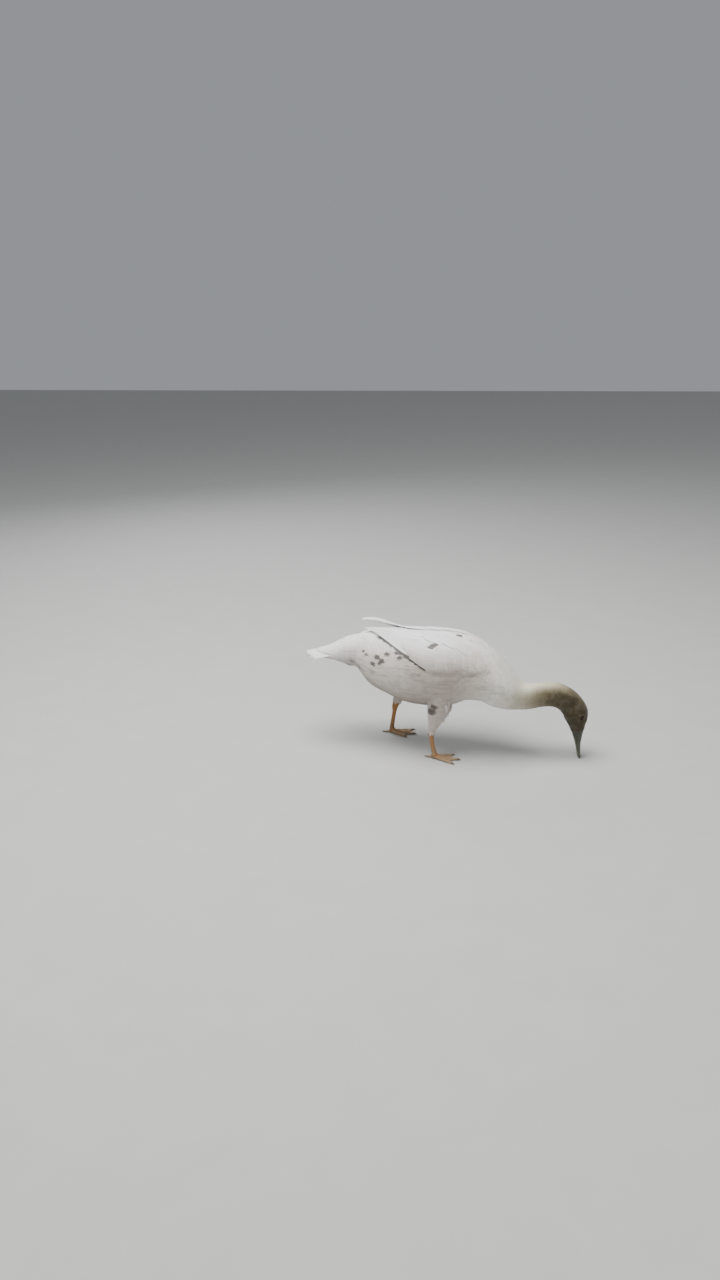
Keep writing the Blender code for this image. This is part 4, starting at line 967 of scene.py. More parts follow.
def wing_feathers(name):
    """All of one wing's tiers, one mesh for each tier, joined as one piece."""
    rng = np.random.default_rng(51)
    side, pieces = SIDES[name], []

    def lift(x, aside):
        rear = np.clip((LIFT_FROM - x) / LIFT_OVER, 0, None)
        return TIP_LIFT[name] * rear**1.5 + TIP_LEAN[name] * aside * np.clip(rear * 1.6, 0, 1)

    for order, tier in enumerate(WING_TIERS):
        vane, count, low_root, low_tip, high_root, high_tip, width, sunk, raised, step = tier
        bow, lean = TIER_BOW.get(order, PLAIN_BOW), TIER_LEAN.get(order, PLAIN_LEAN)
        share = np.arange(count) / (count - 1)
        root = np.array(low_root) + np.outer(share, np.subtract(high_root, low_root))
        tip = np.array(low_tip) + np.outer(share, np.subtract(high_tip, low_tip))
        tip += rng.uniform(-1, 1, tip.shape) * (0.0018, 0.5)
        at, angle = place_of(root[:, 0]), np.radians(root[:, 1]) * side
        to_at, to_angle = place_of(tip[:, 0]), np.radians(tip[:, 1]) * side
        root_at, root_turn = metres_at(BODY, at, angle)
        back = (at - to_at) * root_at
        down = (to_angle - angle) * side * root_turn
        length, turn = np.hypot(back, down), np.arctan2(down, back)
        wide = width / 1000 * rng.uniform(0.94, 1.06, count)
        rise = np.arange(count) * step / 1000 + 0.00012 * rng.uniform(-1, 1, count)
        points, _ = lay(BODY, vane, at, angle, turn, length, wide, np.full(count, sunk / 1000),
                        raised / 1000 + rise, np.full(count, 0.0004), lean, bow, 1.9,
                        camber=wide * 0.02, curl=wide * 0.02, lift=lift)
        middle_at, middle_angle = (at + to_at) / 2, (angle + to_angle) / 2
        marks = body_marks(middle_at, middle_angle) | {
            "spot": feather_spots_and_shade(WING_SPOTS if name == "right" else FAR_WING_SPOTS, points, vane,
                                  drawn=0.1),
            "shade": rng.uniform(-1, 1, count)}
        pieces.append(joined_feathers(f"tier_{order}", vane, points,
                                      root_patch(BODY, at, angle), marks))
    return join_pieces(f"wing_feathers_{name}", pieces)


def join_pieces(name, pieces):
    """Joins mesh objects into the first, which takes the name."""
    with bpy.context.temp_override(active_object=pieces[0], object=pieces[0],
                                   selected_editable_objects=pieces, selected_objects=pieces):
        bpy.ops.object.join()
    made = pieces[0]
    made.name = made.data.name = name
    return made


wings = []
for name in SIDES:
    made = wing_feathers(name)
    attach(made, "root")
    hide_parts(f"wing_{name}")
    wings.append(made)
    print(made.name, "faces:", len(made.data.polygons))

# %% [markdown]
# ## Tail feathers
# A fan of stiff feathers, the middle one on top and the others stepping down like a roof, with
# coverts over and under their roots. A spin of one feather would make them all alike. The fan
# isn't on the body either, so its feathers are placed by direction from the tail's root, and
# the coverts lie on a guide surface that runs from the rump to the fan's tip.

# %% Tail fan and coverts
TAIL_FEATHERS, FAN_STEP, FAN_LENGTH, FAN_WIDTH = 15, 3.0, 0.084, 0.0150
FAN_ROOT, FAN_FALL, FAN_BEND, FAN_STACK = (-0.1890, 0.1985), 0.16, 0.72, 0.0011
FAN_APART, FAN_SHORTER, FAN_SLANT, FAN_ARCH = 0.0018, 0.038, 0.10, 0.0006
TAIL_COVERTS = (             # count, first and last degrees, root x, tip x, width, sunk, raised
    (5, -34, 34, -0.212, -0.258, 12, -3.0, -0.3),
    (7, -50, 50, -0.202, -0.246, 13, -3.2, -0.2),
    (9, -62, 62, -0.192, -0.234, 14, -3.2, -0.1),
    (11, -74, 74, -0.181, -0.221, 14, -3.2, 0.0),
    (13, -86, 86, -0.171, -0.208, 13, -3.2, 0.1),
    (15, -92, 92, -0.161, -0.196, 12, -3.2, 0.2),
    (17, -92, 92, -0.152, -0.184, 11, -3.2, 0.2),
    (8, 112, 248, -0.206, -0.252, 13, -2.4, -0.3),
    (11, 98, 262, -0.196, -0.242, 14, -2.6, -0.2),
    (13, 88, 272, -0.184, -0.228, 14, -2.8, -0.1),
    (14, 86, 274, -0.173, -0.212, 14, -2.8, 0.0),
    (16, 86, 274, -0.162, -0.197, 13, -2.8, 0.1),
    (17, 88, 272, -0.153, -0.184, 12, -2.8, 0.2),
)


def fan():
    """The tail's long feathers."""
    rng = np.random.default_rng(61)
    number = np.arange(TAIL_FEATHERS) - TAIL_FEATHERS // 2
    turn = np.radians(FAN_STEP * number + rng.uniform(-0.4, 0.4, TAIL_FEATHERS))[:, None]
    length = FAN_LENGTH * (1 - FAN_SHORTER * np.abs(number))
    length = (length * rng.uniform(0.98, 1.02, TAIL_FEATHERS))[:, None]
    kinds = np.arange(TAIL_FEATHERS) % len(QUILL["shapes"])
    w, t, z = np.moveaxis(QUILL["shapes"][kinds], 2, 0)
    outer = np.sign(number)[:, None]
    away, side = length * t, FAN_WIDTH / 2 * w
    x = FAN_ROOT[0] - np.cos(turn) * away + np.sin(turn) * side
    y = FAN_APART * number[:, None] + np.sin(turn) * away + np.cos(turn) * side
    drop = FAN_STACK * np.abs(number)[:, None] + FAN_SLANT * side * outer + FAN_ARCH * w**2
    height = FAN_ROOT[1] - FAN_FALL * away - FAN_BEND * away**2 - drop + 0.0005 * z
    points = np.stack([x, y, height], axis=-1)
    at = 0.2 + 0.004 * np.abs(number)
    marks = {"along": np.full(TAIL_FEATHERS, 0.02), "around": np.abs(number) / 20,
             "spot": np.zeros(TAIL_FEATHERS), "shade": rng.uniform(-1, 1, TAIL_FEATHERS)}
    roots = root_patch(BODY, at, np.radians(number * 9.0))
    return joined_feathers("fan", QUILL, points, roots, marks)


def tail_coverts():
    rng, pieces = np.random.default_rng(71), []
    for count, first, last, root_x, tip_x, width, sunk, raised in TAIL_COVERTS:
        share = np.arange(count) / (count - 1)
        degrees = first + (last - first) * share
        at = np.interp(np.full(count, root_x), TAIL["x"], TAIL["at"])
        angle = np.radians(degrees + rng.uniform(-1.5, 1.5, count))
        near = np.abs(2 * share - 1)
        length = (root_x - tip_x - 0.008 * near) * rng.uniform(0.93, 1.07, count)
        points, _ = lay(TAIL, COVERT, at, angle, np.zeros(count), length,
                        np.full(count, width / 1000), np.full(count, sunk / 1000),
                        (raised + 0.25 * (np.arange(count) % 2)) / 1000, np.full(count, 0.00035),
                        camber=width * 0.00002, curl=width * 0.00003)
        # The coverts take the rump's spots and the painted shade under the tail.
        marks = nearest_marks(points.mean(axis=1)) | {
            "spot": feather_spots_and_shade(SPOTS_AND_SHADE, points, COVERT), "shade": rng.uniform(-1, 1, count)}
        body_at = place_of(np.full(count, root_x))
        pieces.append(joined_feathers("covert_row", COVERT, points,
                                      root_patch(BODY, body_at, angle), marks))
    return pieces


tail = join_pieces("tail_feathers", [fan(), *tail_coverts()])
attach(tail, "root")
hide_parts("tail")
print("tail faces:", len(tail.data.polygons))

# %% [markdown]
# ## Eyes and lids
# A duck's eye is a dark, wet ball high on the head, held by a thin bare rim of lid. The ball is
# a sphere with a slightly bulging cornea. The lid could be a torus, but a real one is almond
# shaped and thicker above, so it is lofted round the eye from small rings.

# %% Eyeballs
EYE_OUT, EYE_UP, EYE_FORWARD = 0.93, 0.20, 0.30     # the way an eye looks
CORNEA_FROM, CORNEA_BULGE = 0.72, 0.07              # shares of the radius


def eye_axes(side):
    """An eye's outward, forward and upward directions."""
    out = (TO_SIDE * side * EYE_OUT + TO_CROWN * EYE_UP + TO_TIP * EYE_FORWARD).normalized()
    along = (TO_TIP - out * TO_TIP.dot(out)).normalized()
    return out, along, out.cross(along).normalized() * (1 if side > 0 else -1)


eyeballs = []
for name, side in SIDES.items():
    out, along, up = eye_axes(side)
    bm = bmesh.new()
    bmesh.ops.create_uvsphere(bm, u_segments=48, v_segments=32, radius=EYE_RADIUS)
    for vert in bm.verts:
        past = max(0.0, vert.co.z / EYE_RADIUS - CORNEA_FROM) / (1 - CORNEA_FROM)
        place = Vector(vert.co) * (1 + CORNEA_BULGE * past)
        vert.co = EYES[name] + along * place.x + up * place.y + out * place.z
    ball = finish_mesh(f"eyeball_{name}", bm)
    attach(ball, "root")
    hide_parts(f"eye_{name}")
    eyeballs.append(ball)
print("eyeballs:", len(eyeballs), "radius in mm:", EYE_RADIUS * 1000)

# %% Lids
LID_STEPS, LID_SIDES = 56, 12
LID_LONG, LID_HIGH = 0.0054, 0.0042            # from the eye's middle to corner and rim
LID_ROLL, LID_OUT = 0.00055, 0.00285           # half its thickness, and how far out it stands
UPPER_ROLL, WRINKLES = 0.00025, 11             # the upper lid is thicker
lids = []
for name, side in SIDES.items():
    out, along, up = eye_axes(side)
    rings = []
    for i in range(LID_STEPS):
        turn = TURN * i / LID_STEPS
        c, s = math.cos(turn), math.sin(turn)
        spoke = along * (LID_LONG * math.copysign(abs(c) ** 0.92, c)) + up * (LID_HIGH * s)
        roll = LID_ROLL + UPPER_ROLL * max(0.0, s) + 0.00005 * math.sin(WRINKLES * turn)
        roll -= 0.00015 * c**8
        middle = EYES[name] + out * (LID_OUT - 0.0009 * c**2) + spoke
        away = spoke.normalized()
        rings.append([middle + away * (roll * 1.25 * math.cos(a)) + out * (roll * math.sin(a))
                      for a in (TURN * k / LID_SIDES for k in range(LID_SIDES))])
    bm = bmesh.new()
    add_loft(bm, rings, looped=True)
    lid = finish_mesh(f"lid_{name}", bm)
    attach(lid, "root")
    lids.append(lid)
print("lids:", len(lids))

# %% [markdown]
# ## Feathers round the eyes
# The finest feathers stand in rings round the lid and point away from it. They hide the join
# between lid and skin.

# %% Eye rings
EYE_RINGS = (                # how far the roots stand off the eye's middle, count and length
    (0.0051, 40, 0.0022), (0.0058, 46, 0.0024), (0.0065, 52, 0.0026), (0.0073, 56, 0.0028),
)
RING_WIDTH, RING_OVAL, RING_SWEPT = 0.0016, 0.88, 0.75
DROP = 0.02                  # how far off the skin a point starts, in metres


def onto_skin(points, out, height):
    """Points dropped against the way out onto the skin, then raised by their heights."""
    flat, high = points.reshape(-1, 3).copy(), height.reshape(-1)
    for i, point in enumerate(flat):
        hit = SKIN_TREE.ray_cast(Vector(point + out * DROP), Vector(-out), 2 * DROP)[0]
        if hit is not None:
            flat[i] = np.array(hit) + out * high[i]
    return flat.reshape(points.shape)


def eye_ring(name, side):
    out, along, up = (np.array(axis) for axis in eye_axes(side))
    rng = np.random.default_rng(81)
    pieces = []
    for reach, count, length in EYE_RINGS:
        turn = (np.arange(count) + rng.uniform(-0.25, 0.25, count)) / count * TURN
        spoke = np.cos(turn)[:, None] * along + np.sin(turn)[:, None] * RING_OVAL * up
        flow = spoke - RING_SWEPT * along
        flow /= np.linalg.norm(flow, axis=1, keepdims=True) + 1e-9
        root = np.array(EYES[name]) + spoke * reach * rng.uniform(0.96, 1.04, (count, 1))
        w, t, z = FINE["shapes"][0].T
        across = np.cross(out, flow)
        points = (root[:, None] + flow[:, None] * (length * t)[None, :, None]
                  + across[:, None] * (RING_WIDTH / 2 * w)[None, :, None])
        away = np.linalg.norm(points - np.array(EYES[name]), axis=2)
        height = (0.0004 + 0.0014 * np.exp(-np.clip(away - 0.0056, 0, 1) / 0.0016)
                  + 0.00018 * (1 - (1 - t) ** 1.5) + 0.00014 * z)
        points = onto_skin(points, out, height)
        at = np.full(count, HEAD_END - 3.4)
        angle = side * (1.1 + 0.3 * np.sin(turn)) + 0.0004 * np.arange(count)
        marks = {"along": np.full(count, 0.95), "around": np.full(count, 0.4),
                 "spot": np.zeros(count), "shade": rng.uniform(-1, 1, count)}
        pieces.append(joined_feathers("ring", FINE, points, root_patch(BODY, at, angle), marks))
    made = join_pieces(f"eye_ring_{name}", pieces)
    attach(made, "root")
    return made


eye_rings = [eye_ring(name, side) for name, side in SIDES.items()]
print("rings of feathers round the eyes:", len(eye_rings))

# %% [markdown]
# ## Bill
# The bill is a long, slightly dished spatula in two halves, covered in thin leathery skin. The
# upper half ends in a hard nail, holds the nostrils near its base, and overhangs the lower one,
# whose edge is combed into fine plates. Both are lofts whose rings are domes on the mouth's line,
# and the nostrils, the nail and the comb are relief on those rings.

# %% Bill halves
BILL_SECTIONS = np.array((   # share of the length, ridge, floor of the lower bill, half width
    (0.00, 13.4, 11.2, 11.6), (0.12, 11.4, 9.6, 10.6), (0.26, 8.6, 7.8, 9.9),
    (0.42, 6.2, 6.0, 10.0), (0.60, 4.6, 4.6, 10.9), (0.78, 3.8, 3.7, 11.5),
    (0.90, 3.2, 3.2, 10.6), (0.97, 2.6, 2.7, 7.6), (1.00, 2.0, 2.2, 5.2),
))
BILL_RINGS, BILL_DOME, BILL_FLOOR = 84, 64, 14
BILL_RADIUS, HALF_GAP = 0.0095, 0.00006
NOSTRIL_SHARE, NOSTRIL_TURN, NOSTRIL_LONG, NOSTRIL_HIGH = 0.30, 0.93, 0.0042, 0.0014
NOSTRIL_RIM, NOSTRIL_DEEP = 0.00045, 0.0026
NAIL_START, NAIL_MIDDLE, NAIL_LONG, NAIL_HALF, NAIL_RISE = 0.86, 0.94, 0.075, 0.0042, 0.0005
EDGE_TURN, EDGE_RISE = 0.16, 0.00022           # a low roll along the upper bill's edge
COMB_STEP, COMB_RISE = 0.0013, 0.00022
MOUTH_BOW, MOUTH_DROP = 0.0022, 0.0010
LOWER_NARROWER, LOWER_SHORTER = 0.95, 0.965


def bill_row(t):
    return smooth_rows(BILL_SECTIONS, np.array([t * (len(BILL_SECTIONS) - 1)]))[0]


def bill_relief(share, turn, across, upper):
    """The rise of nostril rim, nail and comb off the plain dome."""
    from_edge = min(turn, math.pi - turn)
    rise = 0.0
    if upper:
        along = (share - NOSTRIL_SHARE) * BILL_LENGTH / NOSTRIL_LONG
        high = (from_edge - NOSTRIL_TURN) * BILL_RADIUS / NOSTRIL_HIGH
        away = math.hypot(along, high)
        rise += NOSTRIL_RIM * math.exp(-((away - 1.25) / 0.35) ** 2)
        rise -= NOSTRIL_DEEP * max(0.0, 1 - away**2) ** 0.5
        if share > NAIL_START:
            oval = math.hypot((share - NAIL_MIDDLE) / NAIL_LONG, across / NAIL_HALF)
            rise += NAIL_RISE * max(0.0, 1 - oval**4)
        rise += EDGE_RISE * math.exp(-((from_edge - EDGE_TURN) / 0.10) ** 2) * min(1, share * 4)
    elif 0.10 < share < 0.93 and from_edge < 0.30:
        rise += COMB_RISE * math.sin(TURN * share * BILL_LENGTH / COMB_STEP)
    return rise


def bill_ring(t, upper):
    share, ridge, floor, half = bill_row(t)
    mouth = -MOUTH_BOW * math.sin(math.pi * min(share * 1.1, 1.0)) - MOUTH_DROP
    reach = max((ridge / 1000 - mouth if upper else floor / 1000 + mouth) - HALF_GAP, 0.0008)
    width = half / 1000 * (1.0 if upper else LOWER_NARROWER)
    way = 1 if upper else -1
    points = []
    for i in range(BILL_DOME + 1):
        turn = math.pi * i / BILL_DOME
        relief = bill_relief(share, turn, width * math.cos(turn), upper)
        rise = reach * math.sin(turn) ** 0.8 + relief * math.sin(turn)
        points.append(((width + relief * abs(math.cos(turn))) * math.cos(turn),
                       mouth + way * (HALF_GAP + rise)))
    for i in range(1, BILL_FLOOR):
        points.append((width * (2 * i / BILL_FLOOR - 1), mouth + way * HALF_GAP))
    start = 2 * HALF_GAP / BILL_LENGTH
    far = start + (1 - start) * share * (1.0 if upper else LOWER_SHORTER)
    return [head_place(-BILL_LENGTH * far, rise, across) for across, rise in points]


bill = []
for name, upper in (("upper", True), ("lower", False)):
    bm = bmesh.new()
    add_loft(bm, [bill_ring(i / BILL_RINGS, upper) for i in range(BILL_RINGS + 1)])
    if upper:
        cut = bmesh.ops.bisect_plane(bm, geom=bm.verts[:] + bm.edges[:] + bm.faces[:], dist=1e-7,
                                     plane_co=(0, 0, 0), plane_no=(0, 0, -1), clear_outer=True)
        rim = [piece for piece in cut["geom_cut"] if isinstance(piece, bmesh.types.BMEdge)]
        if rim:
            bmesh.ops.holes_fill(bm, edges=rim)
    half = finish_mesh(f"bill_{name}_skin", bm)
    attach(half, "root")
    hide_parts(f"bill_{name}")
    bill.append(half)
    print(half.name, "faces:", len(half.data.polygons))

# %% [markdown]
# ## Shanks and feet
# The bare shank is sheathed in scutes: broad plates down the front, small ones behind. Three
# toes are joined by webs and a short hind toe stands behind. Toes and webs are lofts and thin
# sheets that overlap, melted into one foot, so that the web grows out of the toes.

# %% Shanks
SCUTE, SCUTE_RISE, HEEL_RISE = 0.0021, 0.00026, 0.0005
SHANK_RINGS, SHANK_SIDES = 96, 28
ROUND_SHANK = np.arange(SHANK_SIDES) / SHANK_SIDES * TURN
IN_THIGH = ((0.55, 0.0034), (0.36, 0.0018), (0.18, 0.0008))     # rows up, and depth in metres
IN_FOOT = ((0.0012, 0.95), (0.0024, 0.86), (0.0036, 0.74))      # metres down, and share of the width
shanks = []
for name in SIDES:
    part, around = SHANKS[name], ROUND_SHANK
    hock = HOCK - BARE_FROM[name]
    cuff = [on_skin(THIGHS[name], BARE_FROM[name] - rise, around, -depth) for rise, depth in IN_THIGH]
    rings = []
    for at in np.linspace(0, part["last"], SHANK_RINGS):
        reach = at * float(part["per_at"].mean())
        plate = abs(math.sin(math.pi * reach / SCUTE)) ** 0.5
        front = np.clip(np.cos(around) * 1.6, 0, 1)
        heel = math.exp(-((at - hock - 0.15) / 0.4) ** 2)
        knob = 0.0004 + HEEL_RISE * np.clip(-np.cos(around), 0, 1)
        relief = SCUTE_RISE * (plate - 0.7) * front + knob * heel - 0.0002
        rings.append(on_skin(part, at, around, relief))
    ankle, middle = rings[-1], rings[-1].mean(axis=0)
    rings += [middle + (ankle - middle) * shrink - (0, 0, drop) for drop, shrink in IN_FOOT]
    bm = bmesh.new()
    add_loft(bm, cuff + rings)
    shank = finish_mesh(f"shank_{name}_skin", bm)
    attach(shank, "root")
    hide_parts(f"shank_{name}")
    shanks.append(shank)
    print(shank.name, "faces:", len(shank.data.polygons))

# %% Toes and webs
MIDDLE_TOE, TOE_THICK, CLAW_LENGTH = 0.049, 0.0072, 0.0065
ANKLE_HEIGHT, TOES_BEHIND_ANKLE = 0.012, 0.003
TOES = (                     # name, direction in degrees, share of the middle toe, thickness
    ("inner", -27, 0.80, 0.94), ("middle", 0, 1.00, 1.00), ("outer", 25, 0.95, 0.94),
    ("hind", 187, 0.26, 0.70),
)
TOE_STEP, TOE_SIDES = 0.0006, 18
TOE_SCUTE, TOE_SCUTE_RISE = 0.0022, 0.00020
TOE_TIP, TIP_THINNER = 0.93, 0.315             # where the toe's end starts to thin, and by how much
WEB_START, WEB_REACH, WEB_THICK = 0.06, 0.93, 0.0014


def toe_axes(direction):
    """The level directions along a toe and to its side, and up."""
    c, s = math.cos(math.radians(direction)), math.sin(math.radians(direction))
    return Vector((c, s, 0)), Vector((-s, c, 0)), Vector((0, 0, 1))


def toe_middle(direction, length, t):
    """A point on a toe's floor line, and how thick the toe is there."""
    swell = 1.0 + 0.10 * math.cos(TURN * 3 * t)
    return toe_axes(direction)[0] * length * t, TOE_THICK * (1 - 0.34 * t) * swell


def add_toe(bm, direction, length, width):
    _, side, up = toe_axes(direction)
    rings, count = [], max(14, int(length / TOE_STEP))
    for i in range(count + 1):
        t = i / count
        place, thick = toe_middle(direction, length, t)
        thick *= width * (1 - TIP_THINNER * max(0.0, t - TOE_TIP) / (1 - TOE_TIP))
        scute = TOE_SCUTE_RISE * abs(math.sin(math.pi * t * length / TOE_SCUTE)) ** 0.6
        rise = up * (thick * 0.44 + ANKLE_HEIGHT * 0.25 * max(0.0, 1 - 3 * t))
        rings.append([place + rise
                      + side * ((thick / 2 + scute * max(0, math.sin(a))) * math.cos(a))
                      + up * ((thick / 2 + scute * max(0, math.sin(a))) * math.sin(a))
                      for a in (TURN * k / TOE_SIDES for k in range(TOE_SIDES))])
    add_loft(bm, rings)


def add_web(bm, first, second, seed):
    """A thin sheet between two toes, its front edge bowed in, with folds that follow the toes."""
    made = bmesh.ops.create_grid(bm, x_segments=22, y_segments=26, size=0.5)["verts"]
    ends = [toe_axes(direction)[0] * length for direction, length in (first, second)]
    for vert in made:
        u = vert.co.x + 0.5
        v = WEB_START + (vert.co.y + 0.5) * (WEB_REACH - WEB_START)
        edge = ends[0].lerp(ends[1], u) * v * (1 - 0.10 * math.sin(math.pi * u) * v**2)
        fold = 0.00035 * math.sin(TURN * 2.5 * u + seed) * math.sin(math.pi * u)
        rise = 0.0026 + fold + 0.0012 * abs(2 * u - 1) ** 3 + 0.0012 * (1 - v)
        vert.co = edge + Vector((0, 0, rise))
    faces = list({face for vert in made for face in vert.link_faces})
    bmesh.ops.solidify(bm, geom=faces, thickness=WEB_THICK)


print("toes:", [toe for toe, *_ in TOES])

# %% Feet
def at_ankle(point, name):
    return Vector((point.x + ANKLE_X[name] - TOES_BEHIND_ANKLE,
                   SIDES[name] * (FOOT_SPREAD + point.y), point.z))


ANKLE_TO_SOLE = (            # a ring's height, and how far it stands off the shank's last ring
    (0.0120, 0.0001), (0.0106, 0.0004), (0.0086, 0.0007), (0.0060, 0.0012), (0.0035, 0.0011),
    (0.0015, 0.0002),
)
FOOT_VOXEL = 0.00055


def make_foot(name):
    bm = bmesh.new()
    lengths = {toe: (direction, MIDDLE_TOE * share) for toe, direction, share, _ in TOES}
    for toe, direction, share, width in TOES:
        add_toe(bm, direction, MIDDLE_TOE * share, width)
    add_web(bm, lengths["inner"], lengths["middle"], 0.4)
    add_web(bm, lengths["middle"], lengths["outer"], 1.7)
    for vert in bm.verts:
        vert.co = at_ankle(vert.co, name)
    last = SHANKS[name]["last"]
    rings = [on_skin(SHANKS[name], last, ROUND_SHANK, -0.0006) + (0, 0, 0.0012)]
    for z, grow in ANKLE_TO_SOLE:
        ring = on_skin(SHANKS[name], last, ROUND_SHANK, grow)
        rings.append(ring * (1, 1, 0) + (2 * grow, 0, z))
    add_loft(bm, rings)
    foot = join_by_voxels(f"foot_{name}_skin", finish_mesh("foot_parts", bm), FOOT_VOXEL, 3)
    for vert in foot.data.vertices:
        vert.co.z = max(vert.co.z, 0.0)
    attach(foot, "root")
    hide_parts(f"foot_{name}")
    return foot


feet = [make_foot(name) for name in SIDES]
for foot in feet:
    print(foot.name, "faces:", len(foot.data.polygons))

# %% Claws
CLAW_STEPS, CLAW_SIDES, HIND_CLAW = 14, 14, 0.8


def make_claws(name):
    bm = bmesh.new()
    for toe, direction, share, width in TOES:
        end, thick = toe_middle(direction, MIDDLE_TOE * share, 1.0)
        thick *= width
        forward, side, up = toe_axes(direction)
        reach = CLAW_LENGTH * (HIND_CLAW if toe == "hind" else 1.0)
        rings = []
        for i in range(CLAW_STEPS + 1):
            t = i / CLAW_STEPS
            radius = max(thick * 0.40 * (1 - t**1.6), 0.00012)
            rise = thick * 0.52 - (thick * 0.52 - 0.0007 - radius) * t**2 * 0.9
            middle = end + forward * (reach * t - 0.0012 * (1 - t)) + up * rise
            ring = [middle + side * (radius * 0.82 * math.cos(a)) + up * (radius * math.sin(a))
                    for a in (TURN * k / CLAW_SIDES for k in range(CLAW_SIDES))]
            rings.append([at_ankle(point, name) for point in ring])
        add_loft(bm, rings)
    claws = finish_mesh(f"claws_{name}", bm)
    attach(claws, "root")
    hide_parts(*(f"claw_{name}_{toe}" for toe, *_ in TOES))
    return claws


claws = [make_claws(name) for name in SIDES]
for made in claws:
    print(made.name, "faces:", len(made.data.polygons))

# %% [markdown]
# ## Materials
# Colours are given as 8-bit values and turned into linear light. Effects that several
# materials share are node groups: the markings, the barbs of a vane, the scales of the legs and
# the dust of the yard.

# %% Node helpers
def tint(red, green, blue):
    """A colour in linear light from 8-bit values."""
    return tuple(((c / 255 + 0.055) / 1.055) ** 2.4 if c > 10 else c / 255 / 12.92
                 for c in (red, green, blue)) + (1.0,)


def add(tree, kind, values=None, **settings):
    """A node with its settings, and with a number, colour or link for each input in values."""
    made = tree.nodes.new("ShaderNode" + kind)
    for key, value in settings.items():
        setattr(made, key, value)
    for key, value in (values or {}).items():
        if isinstance(value, bpy.types.NodeSocket):
            tree.links.new(value, made.inputs[key])
        else:
            made.inputs[key].default_value = value
    return made


def maths(tree, operation, first, second=0.0, clamp=False):
    return add(tree, "Math", {0: first, 1: second}, operation=operation, use_clamp=clamp).outputs[0]


def product(tree, *values):
    made = values[0]
    for value in values[1:]:
        made = maths(tree, "MULTIPLY", made, value)
    return made


def total(tree, first, second):
    return maths(tree, "ADD", first, second)


def rest_of(tree, whole, part, clamp=False):
    """What is left of a whole without a part, such as the inverse of a mask."""
    return maths(tree, "SUBTRACT", whole, part, clamp)


def ramp(tree, factor, stops):
    """A colour ramp from (place, 8-bit colour) stops."""
    made = add(tree, "ValToRGB", {"Fac": factor})
    elements = made.color_ramp.elements
    for element, (place, colour) in zip(elements, (stops[0], stops[-1])):
        element.position, element.color = place, tint(*colour)
    for place, colour in stops[1:-1]:
        elements.new(place).color = tint(*colour)
    return made.outputs["Color"]


def smooth(tree, value, low, high):
    return add(tree, "MapRange", {"Value": value, "From Min": low, "From Max": high},
               interpolation_type="SMOOTHSTEP").outputs["Result"]


def blend(tree, factor, first, second, how="MIX"):
    return add(tree, "Mix", {0: factor, 6: first, 7: second}, data_type="RGBA",
               blend_type=how).outputs[2]


# %% Group and material helpers
def new_group(name, inputs, outputs):
    """A shader node group with named inputs and outputs, and its two end nodes."""
    group = bpy.data.node_groups.new(name, "ShaderNodeTree")
    for label, kind, value in inputs:
        socket = group.interface.new_socket(label, in_out="INPUT", socket_type="NodeSocket" + kind)
        socket.default_value = value
    for label, kind in outputs:
        group.interface.new_socket(label, in_out="OUTPUT", socket_type="NodeSocket" + kind)
    return group, group.nodes.new("NodeGroupInput").outputs, group.nodes.new("NodeGroupOutput")


def use_group(tree, group, values=None):
    return add(tree, "Group", values, node_tree=group).outputs


def attribute(tree, name):
    return add(tree, "Attribute", attribute_name=name, attribute_type="GEOMETRY").outputs["Fac"]


def object_place(tree):
    return add(tree, "TexCoord").outputs["Object"]


def object_height(tree):
    return add(tree, "SeparateXYZ", {0: object_place(tree)}).outputs[2]


def on_vane(tree):
    """A place's two coordinates on its own feather's map."""
    return add(tree, "SeparateXYZ", {0: add(tree, "UVMap", uv_map="vane").outputs["UV"]}).outputs


def from_shaft(tree, across):
    """How far a place lies from the shaft: 0 on it and 1 at the feather's side."""
    return product(tree, maths(tree, "ABSOLUTE", rest_of(tree, across, 0.5)), 2.0)


def noise(tree, scale, detail=3.0, rough=0.5):
    return add(tree, "TexNoise", {"Vector": object_place(tree), "Scale": scale, "Detail": detail,
                                  "Roughness": rough}).outputs["Fac"]


def new_material(name, **sockets):
    """A material, its tree and its shader, with plain numbers on the shader's own sockets."""
    made = bpy.data.materials.new(name)
    made.use_nodes = True
    shader = made.node_tree.nodes["Principled BSDF"]
    for key, value in sockets.items():
        shader.inputs[key.replace("_", " ")].default_value = value
    return made, made.node_tree, shader


def bump(tree, shader, height, strength, distance):
    made = add(tree, "Bump", {"Height": height, "Strength": strength, "Distance": distance})
    tree.links.new(made.outputs["Normal"], shader.inputs["Normal"])


def coat_with(material, *pieces):
    for piece in pieces:
        piece.data.materials.clear()
        piece.data.materials.append(material)
